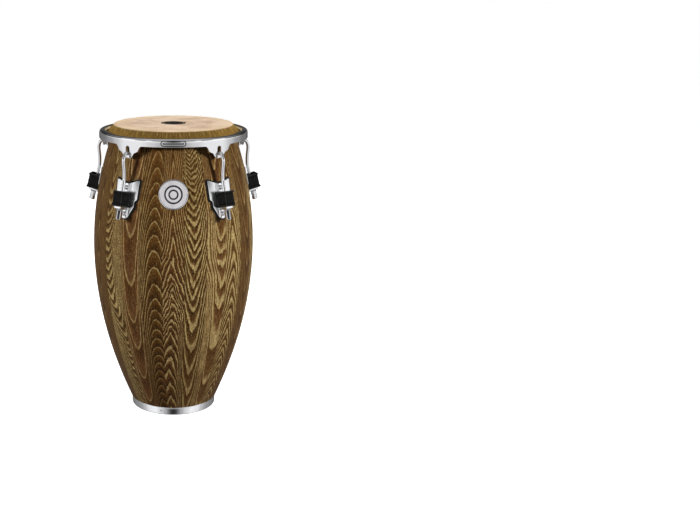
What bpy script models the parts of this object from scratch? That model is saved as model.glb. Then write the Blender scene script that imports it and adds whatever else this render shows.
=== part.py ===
"""Quinto conga: a staved barrel shell with a rope-free, rod-tensioned skin head.

Metres, +Z up, standing on z = 0, front towards -Y.  The five lug stations
make the outline deeper at the back than at the front, so the drum's own axis
stands at y = AXIS_Y and the middle of the outline is the origin.
"""

import math

import bmesh
import bpy
from mathutils import Matrix, Vector

# ---------------------------------------------------------------- dimensions
HEIGHT = 0.711  # floor to the top of the head

# barrel outline: radius falls off either side of the belly as a power of height
BELLY_R = 0.196
BELLY_Z = 0.410
LOWER_DROP, LOWER_SPAN, LOWER_POWER = 0.0850, 0.380, 1.94
UPPER_DROP, UPPER_SPAN, UPPER_POWER = 0.0226, 0.190, 2.03
WALL = 0.012  # stave thickness
SHELL_BOTTOM = 0.0023
EDGE_R = 0.137  # radius of the bearing edge's crest
EDGE_Z = 0.7088
EDGE_START = 0.7015  # height where the edge's rounding begins
STEPS = 60  # facets of the large turned pieces

# base ring, an angle section with its flange under the shell
RING_R = 0.105
RING_H = 0.0197
RING_T = 0.002
RING_ROUND = 0.0026
RING_FLANGE_R = 0.0905
NAIL_Z = 0.0105
NAIL_AZ = [-17.0, 73.0, 163.0, 253.0]

# head: skin folded round a flesh hoop
SKIN_T = 0.0016
COLLAR_DEG = 49.5  # slope of the collar below horizontal
SHOULDER = 0.006
HOOP_R = 0.1668
HOOP_Z = 0.6887
HOOP_BAR = 0.0036
FOLD_GAP = 0.0007
FOLD_END_DEG = 145.0

# rim: a rounded hoop with an apron and five ears
RIM_T = 0.0025
RIM_R = 0.1775  # middle of its wall
RIM_TOP = 0.6962  # middle of its lip
RIM_LIP_R = 0.1650
RIM_ROUND = 0.0050
APRON_Z = 0.6785
EAR_TIP_Z = 0.6500
# half outline of an ear: degrees from its centre, height
EAR_HALF = [
    (12.9, 0.6785),
    (11.3, 0.6778),
    (10.0, 0.6738),
    (8.9, 0.6672),
    (7.3, 0.6637),
    (5.6, 0.6612),
    (4.4, 0.6556),
    (3.2, 0.6512),
    (1.6, 0.6500),
]
EYE_W, EYE_LOW, EYE_HIGH = 0.0104, 0.6560, 0.6775

# five tension stations
LUGS = 5
LUG_AZ = [36.0 + 72.0 * i for i in range(LUGS)]
GASKET_T = 0.0018
PLATE_T = 0.0020
GAP = 0.0003
RIB_H = 0.0015
RIB_IN, RIB_OUT = 0.0055, 0.0075
# half outline of the lug plate: distance from its centre line, height
PLATE_HALF = [
    (0.0000, 0.5905),
    (0.0075, 0.5915),
    (0.0298, 0.5985),
    (0.0311, 0.5975),
    (0.0296, 0.5565),
    (0.0288, 0.5548),
    (0.0246, 0.5520),
    (0.0236, 0.5500),
    (0.0224, 0.5380),
    (0.0075, 0.5135),
    (0.0035, 0.5112),
    (0.0000, 0.5108),
]
GASKET_EDGE = 0.0038
BOLT_Z = [0.5810, 0.5215]
BOLT_HOLE_R = 0.0033

# tension rod: its straight lower end leans outwards going down
ROD_R = 0.0040
TILT = math.radians(14.5)
PIVOT_R, PIVOT_Z = 0.2039, 0.5560  # a point on the straight end's axis
ROD_END = -0.0440  # along the axis from that point
ROD_STRAIGHT = 0.0455
# the rest of the rod, radius and height, up to the hook's tip
ROD_KNOTS = [
    (0.1918, 0.6120),
    (0.1921, 0.6240),
    (0.1934, 0.6380),
    (0.1930, 0.6480),
    (0.1895, 0.6568),
    (0.1838, 0.6612),
    (0.1775, 0.6622),
    (0.1722, 0.6592),
    (0.1700, 0.6535),
    (0.1697, 0.6480),
]

RECEIVER_HALF = 0.0095
RECEIVER_OUT = 0.0120
RECEIVER_LOW, RECEIVER_HIGH = -0.0215, 0.0195
PAD_HALF, PAD_IN_HALF = 0.0135, 0.0098
PAD_OUT, PAD_IN_OUT, PAD_BACK = 0.0175, 0.0123, -0.0146
PAD_BACK_LOW = -0.0172
PAD_LOW, PAD_HIGH = -0.0165, 0.0205
WASHER_T, WASHER_R = 0.0016, 0.0085
NUT_AF, NUT_LEN = 0.0130, 0.0218
FLAT_LOW, FLAT_HIGH = 0.5050, 0.6000
NUT_PLATE_HALF = 0.012
NUT_PLATE_T = 0.0025

BADGE_R, BADGE_Z, BADGE_T = 0.0340, 0.5710, 0.0015

# the back station reaches farther from the axis than the belly does in front
PAD_REACH = PIVOT_R + PAD_OUT * math.cos(TILT) - PAD_LOW * math.sin(TILT)
AXIS_Y = -(PAD_REACH - BELLY_R) / 2.0


# ------------------------------------------------------------------ geometry
def shell_r(z):
    """Outer radius of the barrel at a height."""
    if z < BELLY_Z:
        return BELLY_R - LOWER_DROP * ((BELLY_Z - z) / LOWER_SPAN) ** LOWER_POWER
    return BELLY_R - UPPER_DROP * ((z - BELLY_Z) / UPPER_SPAN) ** UPPER_POWER


def shell_lean(z):
    """Angle by which the surface's normal points above the horizontal."""
    d = 0.0005
    return math.atan2(shell_r(z - d) - shell_r(z + d), 2 * d)


def on_shell(x, z, off):
    """A point a distance off the barrel, x round it from the station's centre line."""
    a = x / shell_r(z)
    lean = shell_lean(z)
    r = shell_r(z) + off * math.cos(lean)
    return Vector((r * math.sin(a), -r * math.cos(a), z + off * math.sin(lean)))


def spline(knots, per_span):
    """Points on a smooth curve through the knots."""
    pts = [Vector(k) for k in knots]
    pts = [2 * pts[0] - pts[1]] + pts + [2 * pts[-1] - pts[-2]]
    out = []
    for i in range(1, len(pts) - 2):
        a, b, c, d = pts[i - 1], pts[i], pts[i + 1], pts[i + 2]
        for k in range(per_span):
            t = k / per_span
            out.append(
                0.5
                * (
                    2 * b
                    + (c - a) * t
                    + (2 * a - 5 * b + 4 * c - d) * t * t
                    + (3 * b - a - 3 * c + d) * t**3
                )
            )
    out.append(pts[-2])
    return out


def thick_path(mid, t):
    """Closed section of even thickness about a middle line, its left side first."""
    left, right = [], []
    n = len(mid)
    for i, p in enumerate(mid):
        a = mid[max(i - 1, 0)]
        b = mid[min(i + 1, n - 1)]
        d = (Vector(b) - Vector(a)).normalized()
        nrm = Vector((-d.y, d.x)) * (t / 2)
        left.append((p[0] + nrm.x, p[1] + nrm.y))
        right.append((p[0] - nrm.x, p[1] - nrm.y))
    return left + right[::-1]


# -------------------------------------------------------------- scene set-up
for ob in list(bpy.data.objects):
    bpy.data.objects.remove(ob, do_unlink=True)


def collection(name):
    c = bpy.data.collections.new(name)
    bpy.context.scene.collection.children.link(c)
    return c


PARTS = collection("quinto_conga")
CUTTERS = collection("cutters")
BOLT_CUTS = collection("bolt_cutters")
NAIL_CUTS = collection("nail_cutters")


def material(name, colour, rough, metal):
    m = bpy.data.materials.new(name)
    m.use_nodes = True
    b = m.node_tree.nodes["Principled BSDF"]
    b.inputs["Base Color"].default_value = (*colour, 1.0)
    b.inputs["Roughness"].default_value = rough
    b.inputs["Metallic"].default_value = metal
    m.diffuse_color = (*colour, 1.0)
    return m


WOOD = (0.16, 0.09, 0.04)
CHROME = (0.85, 0.85, 0.87)
BLACK = (0.012, 0.012, 0.013)


def place(name, data, colour, rough, metal, parent=None, coll=None):
    ob = bpy.data.objects.new(name, data)
    (coll or PARTS).objects.link(ob)
    if parent is not None:
        ob.parent = parent
    if coll is None:
        if not data.materials:
            data.materials.append(material(name, colour, rough, metal))
    else:
        ob.hide_render = True
        ob.display_type = "WIRE"
    return ob


def empty(name, parent=None, location=(0, 0, 0), rotation=(0, 0, 0)):
    e = bpy.data.objects.new(name, None)
    PARTS.objects.link(e)
    e.parent = parent
    e.location = location
    e.rotation_euler = rotation
    return e


def profile_mesh(name, pts, closed):
    me = bpy.data.meshes.new(name)
    n = len(pts)
    edges = [(i, i + 1) for i in range(n - 1)] + ([(n - 1, 0)] if closed else [])
    me.from_pydata([(r, 0.0, z) for r, z in pts], edges, [])
    return me


def turn(ob, steps):
    """Revolve the profile about the object's own Z."""
    s = ob.modifiers.new("turn", "SCREW")
    s.axis = "Z"
    s.angle = 2 * math.pi
    s.steps = steps
    s.render_steps = steps
    s.use_merge_vertices = True
    s.merge_threshold = 0.00002
    s.use_smooth_shade = True
    return s


def cut(ob, cutter, how="DIFFERENCE"):
    b = ob.modifiers.new("cut", "BOOLEAN")
    b.operation = how
    b.solver = "EXACT"
    if isinstance(cutter, bpy.types.Collection):
        b.operand_type = "COLLECTION"
        b.collection = cutter
    else:
        b.object = cutter
    return b


def cylinder_mesh(name, r, z0, z1, sides, turn_deg=0.0):
    bm = bmesh.new()
    m = Matrix.Translation((0, 0, (z0 + z1) / 2)) @ Matrix.Rotation(
        math.radians(turn_deg), 4, "Z"
    )
    bmesh.ops.create_cone(
        bm, cap_ends=True, segments=sides, radius1=r, radius2=r, depth=z1 - z0, matrix=m
    )
    me = bpy.data.meshes.new(name)
    bm.to_mesh(me)
    bm.free()
    return me


def outline_curve(name, pts, half):
    """A flat outline in the XY plane, thickened by half each way."""
    cu = bpy.data.curves.new(name, "CURVE")
    cu.dimensions = "2D"
    cu.fill_mode = "BOTH"
    cu.extrude = half
    sp = cu.splines.new("POLY")
    sp.points.add(len(pts) - 1)
    for p, (x, y) in zip(sp.points, pts):
        p.co = (x, y, 0, 1)
    sp.use_cyclic_u = True
    return cu


def as_mesh(name, curve, matrix=None):
    """The mesh of an extruded outline, its caps welded on."""
    ob = bpy.data.objects.new(name + "_outline", curve)
    CUTTERS.objects.link(ob)
    if matrix is not None:
        ob.matrix_world = matrix
    bpy.context.view_layer.update()
    dg = bpy.context.evaluated_depsgraph_get()
    me = bpy.data.meshes.new_from_object(ob.evaluated_get(dg))
    me.transform(ob.matrix_world)
    me.name = name
    bpy.data.objects.remove(ob, do_unlink=True)
    bm = bmesh.new()
    bm.from_mesh(me)
    bmesh.ops.remove_doubles(bm, verts=bm.verts, dist=0.00001)
    bmesh.ops.recalc_face_normals(bm, faces=bm.faces)
    bm.to_mesh(me)
    bm.free()
    return me


def spaced(pts, least):
    """The outline without points that lie closer than least to the one before."""
    out = [pts[0]]
    for p in pts[1:]:
        if (Vector(p) - Vector(out[-1])).length >= least:
            out.append(p)
    return out


def half_patch(name, half, x_cuts, z_cuts, off):
    """Half of a sheet laid on the barrel, open at its centre line.

    off gives its distance from the barrel at each x."""
    bm = bmesh.new()
    bm.faces.new([bm.verts.new((x, 0.0, z)) for x, z in half])
    for axis, values in ((0, x_cuts), (2, z_cuts)):
        for v in values:
            co, no = [0, 0, 0], [0, 0, 0]
            co[axis], no[axis] = v, 1
            bmesh.ops.bisect_plane(
                bm,
                geom=bm.verts[:] + bm.edges[:] + bm.faces[:],
                dist=1e-7,
                plane_co=co,
                plane_no=no,
            )
    for v in bm.verts:
        v.co = on_shell(v.co.x, v.co.z, off(v.co.x))
        if abs(v.co.x) < 1e-6:
            v.co.x = 0.0
    bm.normal_update()
    wrong = [f for f in bm.faces if f.normal.y > 0]
    bmesh.ops.reverse_faces(bm, faces=wrong)
    me = bpy.data.meshes.new(name)
    bm.to_mesh(me)
    bm.free()
    return me


def mirror_and_thicken(ob, t):
    m = ob.modifiers.new("mirror", "MIRROR")
    m.use_axis = (True, False, False)
    m.use_clip = True
    m.merge_threshold = 0.00002
    s = ob.modifiers.new("sheet", "SOLIDIFY")
    s.thickness = t
    s.offset = 1.0
    s.use_even_offset = True


def levels(lo, hi, n):
    return [lo + (hi - lo) * i / n for i in range(1, n)]


AXIS = empty("drum_axis", None, (0.0, AXIS_Y, 0.0))
STATION = [
    empty(f"station_{i + 1}", AXIS, (0, 0, 0), (0, 0, math.radians(a)))
    for i, a in enumerate(LUG_AZ)
]
ROD_AXIS = [
    empty(f"rod_axis_{i + 1}", STATION[i], (0.0, -PIVOT_R, PIVOT_Z), (-TILT, 0, 0))
    for i in range(LUGS)
]
HEAD_AXIS = empty("head_axis", AXIS)


# ------------------------------------------------------------------- cutters
bolt_bore = cylinder_mesh("bolt_bore", BOLT_HOLE_R, -0.0260, 0.0140, 10, 7)
bolt_cut = {}
for i in range(LUGS):
    for k, z in enumerate(BOLT_Z):
        c = place(f"bolt_bore_{i + 1}_{k + 1}", bolt_bore, 0, 0, 0, STATION[i], BOLT_CUTS)
        c.location = on_shell(0.0, z, 0.0)
        c.rotation_euler = (math.pi / 2 - shell_lean(z), 0, 0)
        bolt_cut[i, k] = c

nail_bore = cylinder_mesh("nail_bore", 0.0013, -0.0078, 0.0040, 8, 7)
for i, a in enumerate(NAIL_AZ):
    c = place(f"nail_bore_{i + 1}", nail_bore, 0, 0, 0, AXIS, NAIL_CUTS)
    ar = math.radians(a)
    c.location = (RING_R * math.sin(ar), -RING_R * math.cos(ar), NAIL_Z)
    c.rotation_euler = (math.pi / 2, 0, ar)


# --------------------------------------------------------------------- shell
def shell_profile():
    a = shell_r(EDGE_START) - EDGE_R
    b = EDGE_Z - EDGE_START
    c = EDGE_R - (shell_r(EDGE_START) - WALL)
    pts = [
        (
            EDGE_R + a * math.cos(math.radians(t)),
            EDGE_START + b * math.sin(math.radians(t)),
        )
        for t in (90, 60, 30, 0)
    ]
    n = 10
    for i in range(1, n + 1):
        z = EDGE_START + (RING_H + 0.0006 - EDGE_START) * i / n
        pts.append((shell_r(z), z))
    seat = RING_R - RING_T - 0.0004
    pts += [(seat, RING_H + 0.0006), (seat, SHELL_BOTTOM)]
    pts.append((shell_r(0.02) - 0.014, SHELL_BOTTOM))
    # the inner wall is flat in height where the nut plates lie against it
    rise = [FLAT_LOW * (0.06 + 0.94 * i / 5) for i in range(6)]
    rise += [FLAT_HIGH, (FLAT_HIGH + EDGE_START) / 2, EDGE_START]
    pts += [(shell_r(z) - WALL, z) for z in rise]
    pts += [
        (
            EDGE_R + c * math.cos(math.radians(t)),
            EDGE_START + b * math.sin(math.radians(t)),
        )
        for t in (150, 120)
    ]
    return pts


shell = place(
    "shell", profile_mesh("shell", shell_profile(), True), WOOD, 0.35, 0.0, AXIS
)
turn(shell, STEPS)
cut(shell, BOLT_CUTS)
cut(shell, NAIL_CUTS)

# ----------------------------------------------------------------- base ring
ring_pts = [(RING_R - RING_T, RING_H), (RING_R, RING_H)]
for t in (0, -45, -90):
    ring_pts.append(
        (
            RING_R - RING_ROUND + RING_ROUND * math.cos(math.radians(t)),
            RING_ROUND + RING_ROUND * math.sin(math.radians(t)),
        )
    )
ring_pts += [
    (RING_FLANGE_R, 0.0),
    (RING_FLANGE_R, 0.0018),
    (RING_R - RING_T, 0.0018),
]
ring = place(
    "base_ring", profile_mesh("base_ring", ring_pts, True), CHROME, 0.15, 1.0, AXIS
)
turn(ring, STEPS)
cut(ring, NAIL_CUTS)

nail_pts = [
    (0.0, 0.0012),
    (0.0013, 0.0010),
    (0.0021, 0.0005),
    (0.0021, 0.0003),
    (0.0009, 0.0003),
    (0.0009, -0.0068),
    (0.0, -0.0074),
]
nail_mesh = profile_mesh("ring_nail", nail_pts, False)
for i, a in enumerate(NAIL_AZ):
    nail = place(f"ring_nail_{i + 1}", nail_mesh, CHROME, 0.25, 1.0, AXIS)
    ar = math.radians(a)
    nail.location = (RING_R * math.sin(ar), -RING_R * math.cos(ar), NAIL_Z)
    nail.rotation_euler = (math.pi / 2, 0, ar)
    turn(nail, 8)


# ---------------------------------------------------------------------- head
def skin_middle():
    """Middle line of the skin from the centre, over the shoulder and round the hoop."""
    s = math.radians(COLLAR_DEG)
    d = Vector((math.cos(s), -math.sin(s)))
    rho = HOOP_BAR + FOLD_GAP + SKIN_T / 2
    c = Vector((HOOP_R, HOOP_Z))
    start = math.pi + (math.pi / 2 - s)
    foot = c + rho * Vector((math.cos(start), math.sin(start)))
    top = HEIGHT - SKIN_T / 2
    corner = foot - d * ((top - foot.y) / math.sin(s))
    cut_back = SHOULDER * math.tan(s / 2)
    centre = Vector((corner.x - cut_back, top - SHOULDER))
    pts = [(0.0, top)]
    for i in range(4):
        t = math.pi / 2 - s * i / 3
        pts.append(
            (centre.x + SHOULDER * math.cos(t), centre.y + SHOULDER * math.sin(t))
        )
    n = 6
    end = 2 * math.pi + math.radians(FOLD_END_DEG)
    for i in range(n + 1):
        t = start + (end - start) * i / n
        pts.append((c.x + rho * math.cos(t), c.y + rho * math.sin(t)))
    return pts


skin = place(
    "drumhead_skin",
    profile_mesh("drumhead_skin", thick_path(skin_middle(), SKIN_T), False),
    (0.80, 0.62, 0.45),
    0.55,
    0.0,
    HEAD_AXIS,
)
turn(skin, STEPS)

hoop_pts = [
    (
        HOOP_R + HOOP_BAR * math.cos(math.radians(t)),
        HOOP_Z + HOOP_BAR * math.sin(math.radians(t)),
    )
    for t in (90, 30, -30, -90, -150, -210)
]
hoop = place(
    "flesh_hoop",
    profile_mesh("flesh_hoop", hoop_pts, True),
    (0.35, 0.35, 0.37),
    0.45,
    1.0,
    HEAD_AXIS,
)
turn(hoop, STEPS)


# ----------------------------------------------------------------------- rim
def rim_profile():
    mid = [(RIM_LIP_R, RIM_TOP), (RIM_R - RIM_ROUND, RIM_TOP)]
    for t in (60, 30, 0):
        mid.append(
            (
                RIM_R - RIM_ROUND + RIM_ROUND * math.cos(math.radians(t)),
                RIM_TOP - RIM_ROUND + RIM_ROUND * math.sin(math.radians(t)),
            )
        )
    mid.append((RIM_R, EAR_TIP_Z))
    return thick_path(mid, RIM_T)


def between_ears(name):
    """Cutters that leave an ear at each station: the spaces between neighbours."""
    half = [(math.radians(a), z) for a, z in EAR_HALF]
    low = EAR_TIP_Z - 0.010
    span = 2 * math.pi / LUGS
    side = [(p.x, p.y) for p in spline([half[-1]] + half[::-1][1:], 2)]
    outline = [(side[0][0] * 0.35, low)] + side
    other = [(span - a, z) for a, z in outline[::-1]]
    ring_ = outline + other
    bm = bmesh.new()
    for k in range(LUGS):
        turn_ = math.radians(LUG_AZ[0]) + k * span
        rows = []
        for r in (0.166, 0.240):
            rows.append(
                [
                    bm.verts.new(
                        (r * math.sin(turn_ + a), -r * math.cos(turn_ + a), z)
                    )
                    for a, z in ring_
                ]
            )
        n = len(ring_)
        for i in range(n):
            j = (i + 1) % n
            bm.faces.new((rows[0][i], rows[0][j], rows[1][j], rows[1][i]))
        bm.faces.new(rows[0][::-1])
        bm.faces.new(rows[1])
    bmesh.ops.triangulate(bm, faces=[f for f in bm.faces if len(f.verts) > 4])
    bmesh.ops.recalc_face_normals(bm, faces=bm.faces)
    me = bpy.data.meshes.new(name)
    bm.to_mesh(me)
    bm.free()
    return me


def eye_outline():
    r = EYE_W / 2
    pts = []
    for i in range(7):
        t = math.pi * i / 6
        pts.append((r * math.cos(t), EYE_HIGH - r + r * math.sin(t)))
    for i in range(7):
        t = math.pi + math.pi * i / 6
        pts.append((r * math.cos(t), EYE_LOW + r + r * math.sin(t)))
    return pts


rim = place(
    "rim", profile_mesh("rim", rim_profile(), True), CHROME, 0.12, 1.0, HEAD_AXIS
)
turn(rim, STEPS)
gaps = place("between_ears", between_ears("between_ears"), 0, 0, 0, HEAD_AXIS, CUTTERS)
cut(rim, gaps)
eye_me = as_mesh(
    "ear_eye",
    outline_curve("ear_eye", eye_outline(), 0.010),
    Matrix.Translation((0, -RIM_R, 0)) @ Matrix.Rotation(math.pi / 2, 4, "X"),
)
for i in range(LUGS):
    eye = place(f"ear_eye_{i + 1}", eye_me, 0, 0, 0, STATION[i], CUTTERS)
    cut(rim, eye)

# --------------------------------------------------------------------- badge
badge_bm = bmesh.new()
bmesh.ops.create_circle(badge_bm, cap_ends=True, cap_tris=False, segments=28, radius=BADGE_R)
for v_ in badge_bm.verts:
    v_.co = (v_.co.x, 0.0, v_.co.y + BADGE_Z)
for x_ in levels(-BADGE_R, BADGE_R, 6):
    bmesh.ops.bisect_plane(
        badge_bm,
        geom=badge_bm.verts[:] + badge_bm.edges[:] + badge_bm.faces[:],
        dist=1e-7,
        plane_co=(x_, 0, 0),
        plane_no=(1, 0, 0),
    )
for z_ in levels(BADGE_Z - BADGE_R, BADGE_Z + BADGE_R, 4):
    bmesh.ops.bisect_plane(
        badge_bm,
        geom=badge_bm.verts[:] + badge_bm.edges[:] + badge_bm.faces[:],
        dist=1e-7,
        plane_co=(0, 0, z_),
        plane_no=(0, 0, 1),
    )
for v_ in badge_bm.verts:
    v_.co = on_shell(v_.co.x, v_.co.z, 0.0004)
badge_bm.normal_update()
bmesh.ops.reverse_faces(badge_bm, faces=[f for f in badge_bm.faces if f.normal.y > 0])
badge_me = bpy.data.meshes.new("badge")
badge_bm.to_mesh(badge_me)
badge_bm.free()
badge = place("badge", badge_me, (0.78, 0.76, 0.78), 0.3, 1.0, AXIS)
sheet = badge.modifiers.new("sheet", "SOLIDIFY")
sheet.thickness = BADGE_T
sheet.offset = 1.0

# -------------------------------------------------------------- lug hardware
GASKET_OFF = GAP
PLATE_OFF = GAP + GASKET_T + GAP
RIB_TOP = PLATE_OFF + PLATE_T + RIB_H


def grow(half, d):
    """The half outline moved outwards by d, its ends kept on the centre line."""
    out = []
    n = len(half)
    for i, p in enumerate(half):
        p = Vector(p)
        a = Vector(half[i - 1]) if i else Vector((-half[1][0], half[1][1]))
        b = Vector(half[i + 1]) if i < n - 1 else Vector((-half[-2][0], half[-2][1]))
        n1 = (p - a).normalized()
        n2 = (b - p).normalized()
        n1 = Vector((-n1.y, n1.x))
        n2 = Vector((-n2.y, n2.x))
        m = (n1 + n2).normalized()
        q = p + m * (d / max(m.dot(n1), 0.6))
        if i in (0, n - 1):
            q.x = 0.0
        out.append((q.x, q.y))
    return out


def rib(x):
    x = abs(x)
    f = min(max((RIB_OUT - x) / (RIB_OUT - RIB_IN), 0.0), 1.0)
    return RIB_H * f


plate_me = half_patch(
    "lug_plate",
    PLATE_HALF,
    [RIB_IN, RIB_OUT, 0.020],
    [0.527, 0.545, 0.562, 0.580],
    lambda x: PLATE_OFF + rib(x),
)
gasket_me = half_patch(
    "gasket",
    spaced(grow(PLATE_HALF, GASKET_EDGE), 0.0010),
    [0.0150],
    [0.5380, 0.5645],
    lambda x: GASKET_OFF,
)
nut_plate_half = [
    (0.0, 0.5945),
    (NUT_PLATE_HALF, 0.5945),
    (NUT_PLATE_HALF, 0.5080),
    (0.0, 0.5080),
]
nut_plate_me = half_patch(
    "nut_plate",
    nut_plate_half,
    [],
    [],
    lambda x: -(WALL + 0.0006 + NUT_PLATE_T),
)
weld_nut = cylinder_mesh("weld_nut", 0.0064, -0.0215, -(WALL + 0.0028), 6)

bolt_pts = [
    (0.0, RIB_TOP + 0.0036),
    (0.0028, RIB_TOP + 0.0033),
    (0.0046, RIB_TOP + 0.0023),
    (0.0055, RIB_TOP + 0.0010),
    (0.0055, RIB_TOP + 0.0003),
    (0.0029, RIB_TOP + 0.0003),
    (0.0029, -0.0228),
    (0.0, -0.0234),
]
bolt_me = profile_mesh("bolt", bolt_pts, False)


def receiver_outline():
    """Side view of the receiver, out from the rod axis and along it."""
    pts = []
    n = 4
    for i in range(n + 1):
        w = RECEIVER_LOW + (RECEIVER_HIGH - RECEIVER_LOW) * i / n
        # walk in from the axis until the rib's face is met
        u = 0.0
        for _ in range(60):
            r = PIVOT_R + u * math.cos(TILT) - w * math.sin(TILT)
            z = PIVOT_Z + u * math.sin(TILT) + w * math.cos(TILT)
            lean = shell_lean(z)
            d = (r - shell_r(z)) * math.cos(lean) - (RIB_TOP + GAP)
            u -= d / math.cos(TILT - lean)
        pts.append((u, w))
    pts += [(RECEIVER_OUT, RECEIVER_HIGH), (RECEIVER_OUT, RECEIVER_LOW)]
    return pts


# curve X runs out from the axis and curve Y along it
SIDE_VIEW = Matrix(((0, 0, -1, 0), (-1, 0, 0, 0), (0, 1, 0, 0), (0, 0, 0, 1)))
receiver_me = as_mesh(
    "receiver",
    outline_curve("receiver", receiver_outline(), RECEIVER_HALF),
    SIDE_VIEW,
)
receiver_bore = cylinder_mesh("receiver_bore", 0.0049, -0.030, 0.030, 12)


def pad_outline():
    """The sleeve seen along the rod: three sides, open towards the shell."""
    c = 0.005
    pts = [(-PAD_HALF, PAD_BACK)]
    for i in range(4):
        t = math.pi - (math.pi / 2) * i / 3
        pts.append((-PAD_HALF + c + c * math.cos(t), PAD_OUT - c + c * math.sin(t)))
    for i in range(4):
        t = math.pi / 2 - (math.pi / 2) * i / 3
        pts.append((PAD_HALF - c + c * math.cos(t), PAD_OUT - c + c * math.sin(t)))
    pts += [
        (PAD_HALF, PAD_BACK),
        (PAD_IN_HALF, PAD_BACK),
        (PAD_IN_HALF, PAD_IN_OUT),
        (-PAD_IN_HALF, PAD_IN_OUT),
        (-PAD_IN_HALF, PAD_BACK),
    ]
    return [(x, -u) for x, u in pts]


pad_me = as_mesh(
    "knee_pad",
    outline_curve("knee_pad", pad_outline(), (PAD_HIGH - PAD_LOW) / 2),
    Matrix.Translation((0, 0, (PAD_HIGH + PAD_LOW) / 2)),
)
# the open edges follow the plate, which leans less than the rod
for v_ in pad_me.vertices:
    if abs(v_.co.y + PAD_BACK) < 0.00001:
        f_ = (PAD_HIGH - v_.co.z) / (PAD_HIGH - PAD_LOW)
        v_.co.y = -PAD_BACK - (PAD_BACK_LOW - PAD_BACK) * f_

washer_low = RECEIVER_LOW - 0.0003 - WASHER_T
washer_me = profile_mesh(
    "washer",
    [
        (WASHER_R, washer_low + WASHER_T),
        (WASHER_R, washer_low),
        (0.0048, washer_low),
        (0.0048, washer_low + WASHER_T),
    ],
    True,
)
nut_high = washer_low - 0.0003
nut_me = cylinder_mesh(
    "tuning_nut", NUT_AF / 2 / math.cos(math.pi / 6), nut_high - NUT_LEN, nut_high, 6, 30
)
nut_bore = cylinder_mesh("nut_bore", 0.0047, nut_high - NUT_LEN - 0.004, nut_high + 0.004, 12)


def rod_path():
    """The rod's middle line in its axis frame: out from the axis and along it."""

    def local(r, z):
        dr, dz = r - PIVOT_R, z - PIVOT_Z
        return (
            dr * math.cos(TILT) + dz * math.sin(TILT),
            -dr * math.sin(TILT) + dz * math.cos(TILT),
        )

    knots = [(0.0, ROD_STRAIGHT - 0.012), (0.0, ROD_STRAIGHT)]
    knots += [local(r, z) for r, z in ROD_KNOTS]
    bent = spline(knots, 2)[2:]
    return [(0.0, ROD_END)] + [(p.x, p.y) for p in bent]


rod_cu = bpy.data.curves.new("tension_rod", "CURVE")
rod_cu.dimensions = "3D"
rod_cu.bevel_depth = ROD_R
rod_cu.bevel_resolution = 2
rod_cu.use_fill_caps = True
rod_sp = rod_cu.splines.new("POLY")
rod_pts = rod_path()
rod_sp.points.add(len(rod_pts) - 1)
for p_, (u_, w_) in zip(rod_sp.points, rod_pts):
    p_.co = (0.0, -u_, w_, 1)
rod_sp.use_smooth = True

for i in range(LUGS):
    n_ = i + 1
    gasket = place(f"gasket_{n_}", gasket_me, BLACK, 0.7, 0.0, STATION[i])
    mirror_and_thicken(gasket, GASKET_T)
    plate = place(f"lug_plate_{n_}", plate_me, CHROME, 0.12, 1.0, STATION[i])
    mirror_and_thicken(plate, PLATE_T)
    nut_plate = place(
        f"nut_plate_{n_}", nut_plate_me, (0.55, 0.55, 0.57), 0.4, 1.0, STATION[i]
    )
    mirror_and_thicken(nut_plate, NUT_PLATE_T)
    for k, z in enumerate(BOLT_Z):
        seat_ = on_shell(0.0, z, 0.0)
        lean_ = (math.pi / 2 - shell_lean(z), 0, 0)
        boss = place(f"weld_nut_{n_}_{k + 1}", weld_nut, 0, 0, 0, STATION[i], CUTTERS)
        boss.location = seat_
        boss.rotation_euler = lean_
        cut(nut_plate, boss, "UNION")
    for k, z in enumerate(BOLT_Z):
        for piece in (gasket, plate, nut_plate):
            cut(piece, bolt_cut[i, k])
        bolt = place(
            f"{('upper', 'lower')[k]}_bolt_{n_}", bolt_me, CHROME, 0.15, 1.0, STATION[i]
        )
        bolt.location = on_shell(0.0, z, 0.0)
        bolt.rotation_euler = (math.pi / 2 - shell_lean(z), 0, 0)
        turn(bolt, 10)

    merge = gasket.modifiers.new("merge", "WELD")
    merge.merge_threshold = 0.00045

    receiver = place(f"receiver_{n_}", receiver_me, CHROME, 0.15, 1.0, ROD_AXIS[i])
    edge = receiver.modifiers.new("edge", "BEVEL")
    edge.width = 0.0008
    edge.segments = 1
    edge.limit_method = "ANGLE"
    bore = place(f"receiver_bore_{n_}", receiver_bore, 0, 0, 0, ROD_AXIS[i], CUTTERS)
    cut(receiver, bore)

    place(f"knee_pad_{n_}", pad_me, BLACK, 0.6, 0.0, ROD_AXIS[i])

    washer = place(f"washer_{n_}", washer_me, CHROME, 0.2, 1.0, ROD_AXIS[i])
    turn(washer, 16)

    nut = place(f"tuning_nut_{n_}", nut_me, CHROME, 0.12, 1.0, ROD_AXIS[i])
    nb = place(f"nut_bore_{n_}", nut_bore, 0, 0, 0, ROD_AXIS[i], CUTTERS)
    cut(nut, nb)

    place(f"tension_rod_{n_}", rod_cu, CHROME, 0.1, 1.0, ROD_AXIS[i])

bpy.context.view_layer.update()
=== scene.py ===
import math

import bmesh
import bpy
import numpy as np
from mathutils import Matrix, Vector, noise
from mathutils.geometry import delaunay_2d_cdt


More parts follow.
